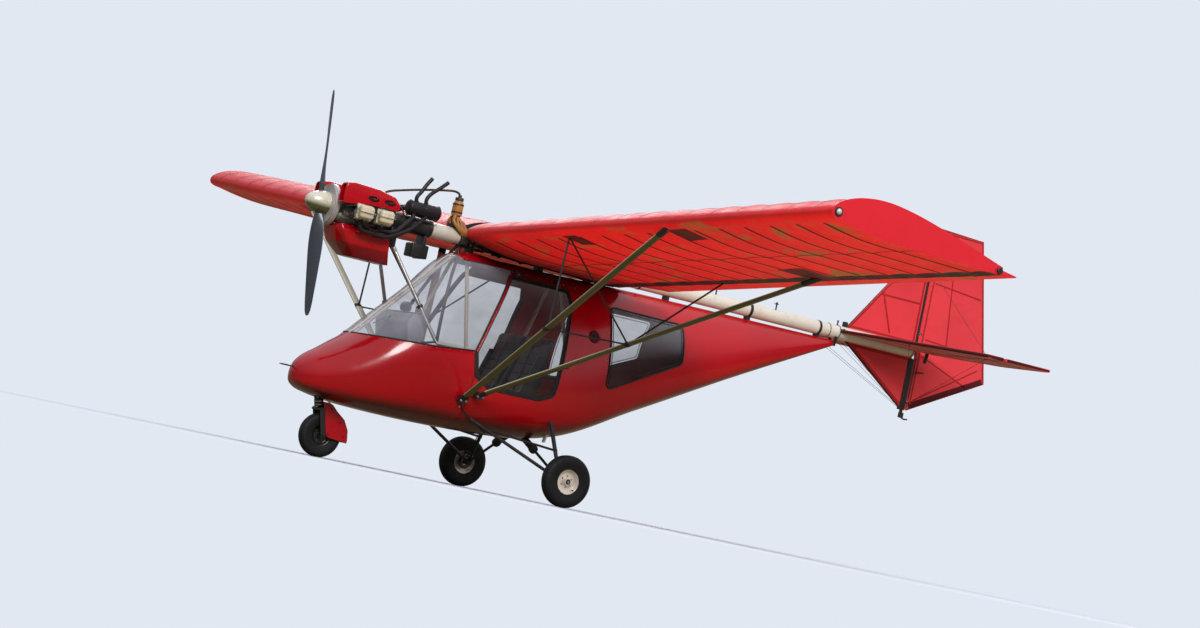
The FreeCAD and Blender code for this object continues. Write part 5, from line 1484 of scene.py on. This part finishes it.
# Wing root ribs, black so that they also stand for the shade between the wing and the boom.
root_plate = grid([wing_section(y) for y in (73.8, 68)])
piece("root_plates", [root_plate, mirror(root_plate)], "trim", crease=60)
# Control cables and blocks along the root, black, also standing for the shade under the wing root.
root = both(hose([(0, 70, -30), (-200, 68, -50), (-500, 66, -56), (-900, 64, -62), (-1360, 62, -85)], 11, 12),
    hose([(-60, 85, -12), (-300, 90, -35), (-700, 88, -50), (-1200, 80, -80), (-1500, 70, -60)], 6, 10))
for k, x in enumerate((-160, -320, -520, -780, -980, -1200)):
    root += both(box(x - 20, x + 20, 46, 82 - 6 * (k % 2), -75, -30, 4),
        lathe(at(x - 50, 60, -50 - 6 * (k % 3)), Y, [(20, 0), (24, 3), (20, 8), (24, 13), (20, 16)], 20))
piece("root_control_run", root, "trim")
bands = [lathe(at(x, 0, 0), X, [(57.8, -w), (60.5, -w + 2), (60.5, w - 2), (57.8, w)], 56)
    for x, w in ((18, 12), (-70, 10), (-1460, 12), (-1620, 8), (-2700, 14), (-3400, 12))]
eyes = []
for k, x in enumerate((-1750, -1790, -2350, -2950)):
    eyes.append(lathe(at(x, 18, 54), Z, [(6, 0), (6, 50 - 8 * (k % 2)), (10, 52), (10, 60)], 14))
    eyes.append(bar(at(x - 20, 18, 100), at(x + 25, 18, 100), 8, 6, 2))
straps = []
for x in (30, -20):
    straps.append(tube([at(x, 70 * math.cos(a), 70 * math.sin(a))
        for a in (2 * math.pi * k / 24 for k in range(25))], 8, 8))
straps += both(hose([(20, 30, -65), (50, 50, -100), (60, 70, -150), (50, 80, -170)], 12, 10),
    box(0, 60, 30, 75, -60, 30, 8))
piece("boom_bands_and_eyes", bands + eyes + straps, "black")
piece("wing_collars", [lathe(at(x - 26, 0, 0), X, [(57.6, 0), (69.5, 1), (69.5, 51), (57.6, 52)], 56)
    for x in (-8, -1380)], "black")

# Floor, backdrop, lamps and world.
floor_mesh = bpy.data.meshes.new("floor")
floor_mesh.from_pydata([(-60, -60, 0), (60, -60, 0), (60, 60, 0), (-60, 60, 0)], [], [(0, 1, 2, 3)])
floor = bpy.data.objects.new("floor", floor_mesh)
scene.collection.objects.link(floor)
BACKDROP = rgb(226, 232, 242)
ground = Finish("floor")
ground.link(ground.mix(ground.noise(0.4, 4), rgb(204, 208, 216), rgb(208, 212, 219)), "Base Color")
ground.set(Roughness=0.95, Specular_IOR_Level=0.0)
spot = ground.add("ShaderNodeNewGeometry").outputs["Position"]
distance = ground.add("ShaderNodeVectorMath", {0: spot}, operation="LENGTH").outputs["Value"]
fade = ground.add("ShaderNodeMapRange", {"Value": distance, "From Min": 3.0, "From Max": 9.0},
    interpolation_type="SMOOTHSTEP").outputs[0]
far = ground.add("ShaderNodeEmission", {"Color": BACKDROP}).outputs[0]
seen = ground.add("ShaderNodeMixShader", {0: fade, 1: ground.shader.outputs[0], 2: far}).outputs[0]
bounce = ground.add("ShaderNodeBsdfDiffuse", {"Color": rgb(136, 126, 104)}).outputs[0]
rays = ground.add("ShaderNodeLightPath").outputs
direct = ground.math("MAXIMUM", rays["Is Camera Ray"], rays["Is Transmission Ray"])
surface = ground.add("ShaderNodeMixShader", {0: direct, 1: bounce, 2: seen}).outputs[0]
ground.tree.links.new(surface, ground.tree.nodes["Material Output"].inputs["Surface"])
floor_mesh.materials.append(ground.material)

world = bpy.data.worlds.new("world")
scene.world = world
world.use_nodes = True
tree = world.node_tree
height = add_node(tree, "ShaderNodeSeparateXYZ",
    {0: tree.nodes.new("ShaderNodeTexCoord").outputs["Generated"]}).outputs[2]
dome = add_node(tree, "ShaderNodeMapRange", {"Value": height, "From Min": 0.0, "From Max": 0.8, "To Min": 0.3,
    "To Max": 1.0}, interpolation_type="SMOOTHSTEP").outputs[0]
sky = add_node(tree, "ShaderNodeBackground", {"Color": rgb(232, 236, 244), "Strength": dome})
pale = add_node(tree, "ShaderNodeBackground", {"Color": BACKDROP, "Strength": 1.0})
path = tree.nodes.new("ShaderNodeLightPath").outputs
either = add_node(tree, "ShaderNodeMath", {0: path["Is Camera Ray"], 1: path["Is Transmission Ray"]},
    operation="MAXIMUM").outputs[0]
blend = add_node(tree, "ShaderNodeMixShader", {0: either, 1: sky.outputs[0], 2: pale.outputs[0]})
tree.links.new(blend.outputs[0], tree.nodes["World Output"].inputs["Surface"])


def lamp(name, place, target, size, power, mirrored=False):
    data = bpy.data.lights.new(name, "AREA")
    data.shape = "DISK"
    data.size = size
    data.energy = power
    obj = bpy.data.objects.new(name, data)
    scene.collection.objects.link(obj)
    obj.location = place
    obj.rotation_mode = "QUATERNION"
    obj.rotation_quaternion = (Vector(target) - Vector(place)).to_track_quat("-Z", "Y")
    obj.visible_glossy = mirrored


lamp("key", (7, 13, 10), (0, 0.5, 1.2), 5, 1500, True)
lamp("fill", (-8, 11, 5), (-2, 0, 1.2), 6, 600)
lamp("rim", (-2, -9, 8), (0, 0, 1.5), 5, 450, True)
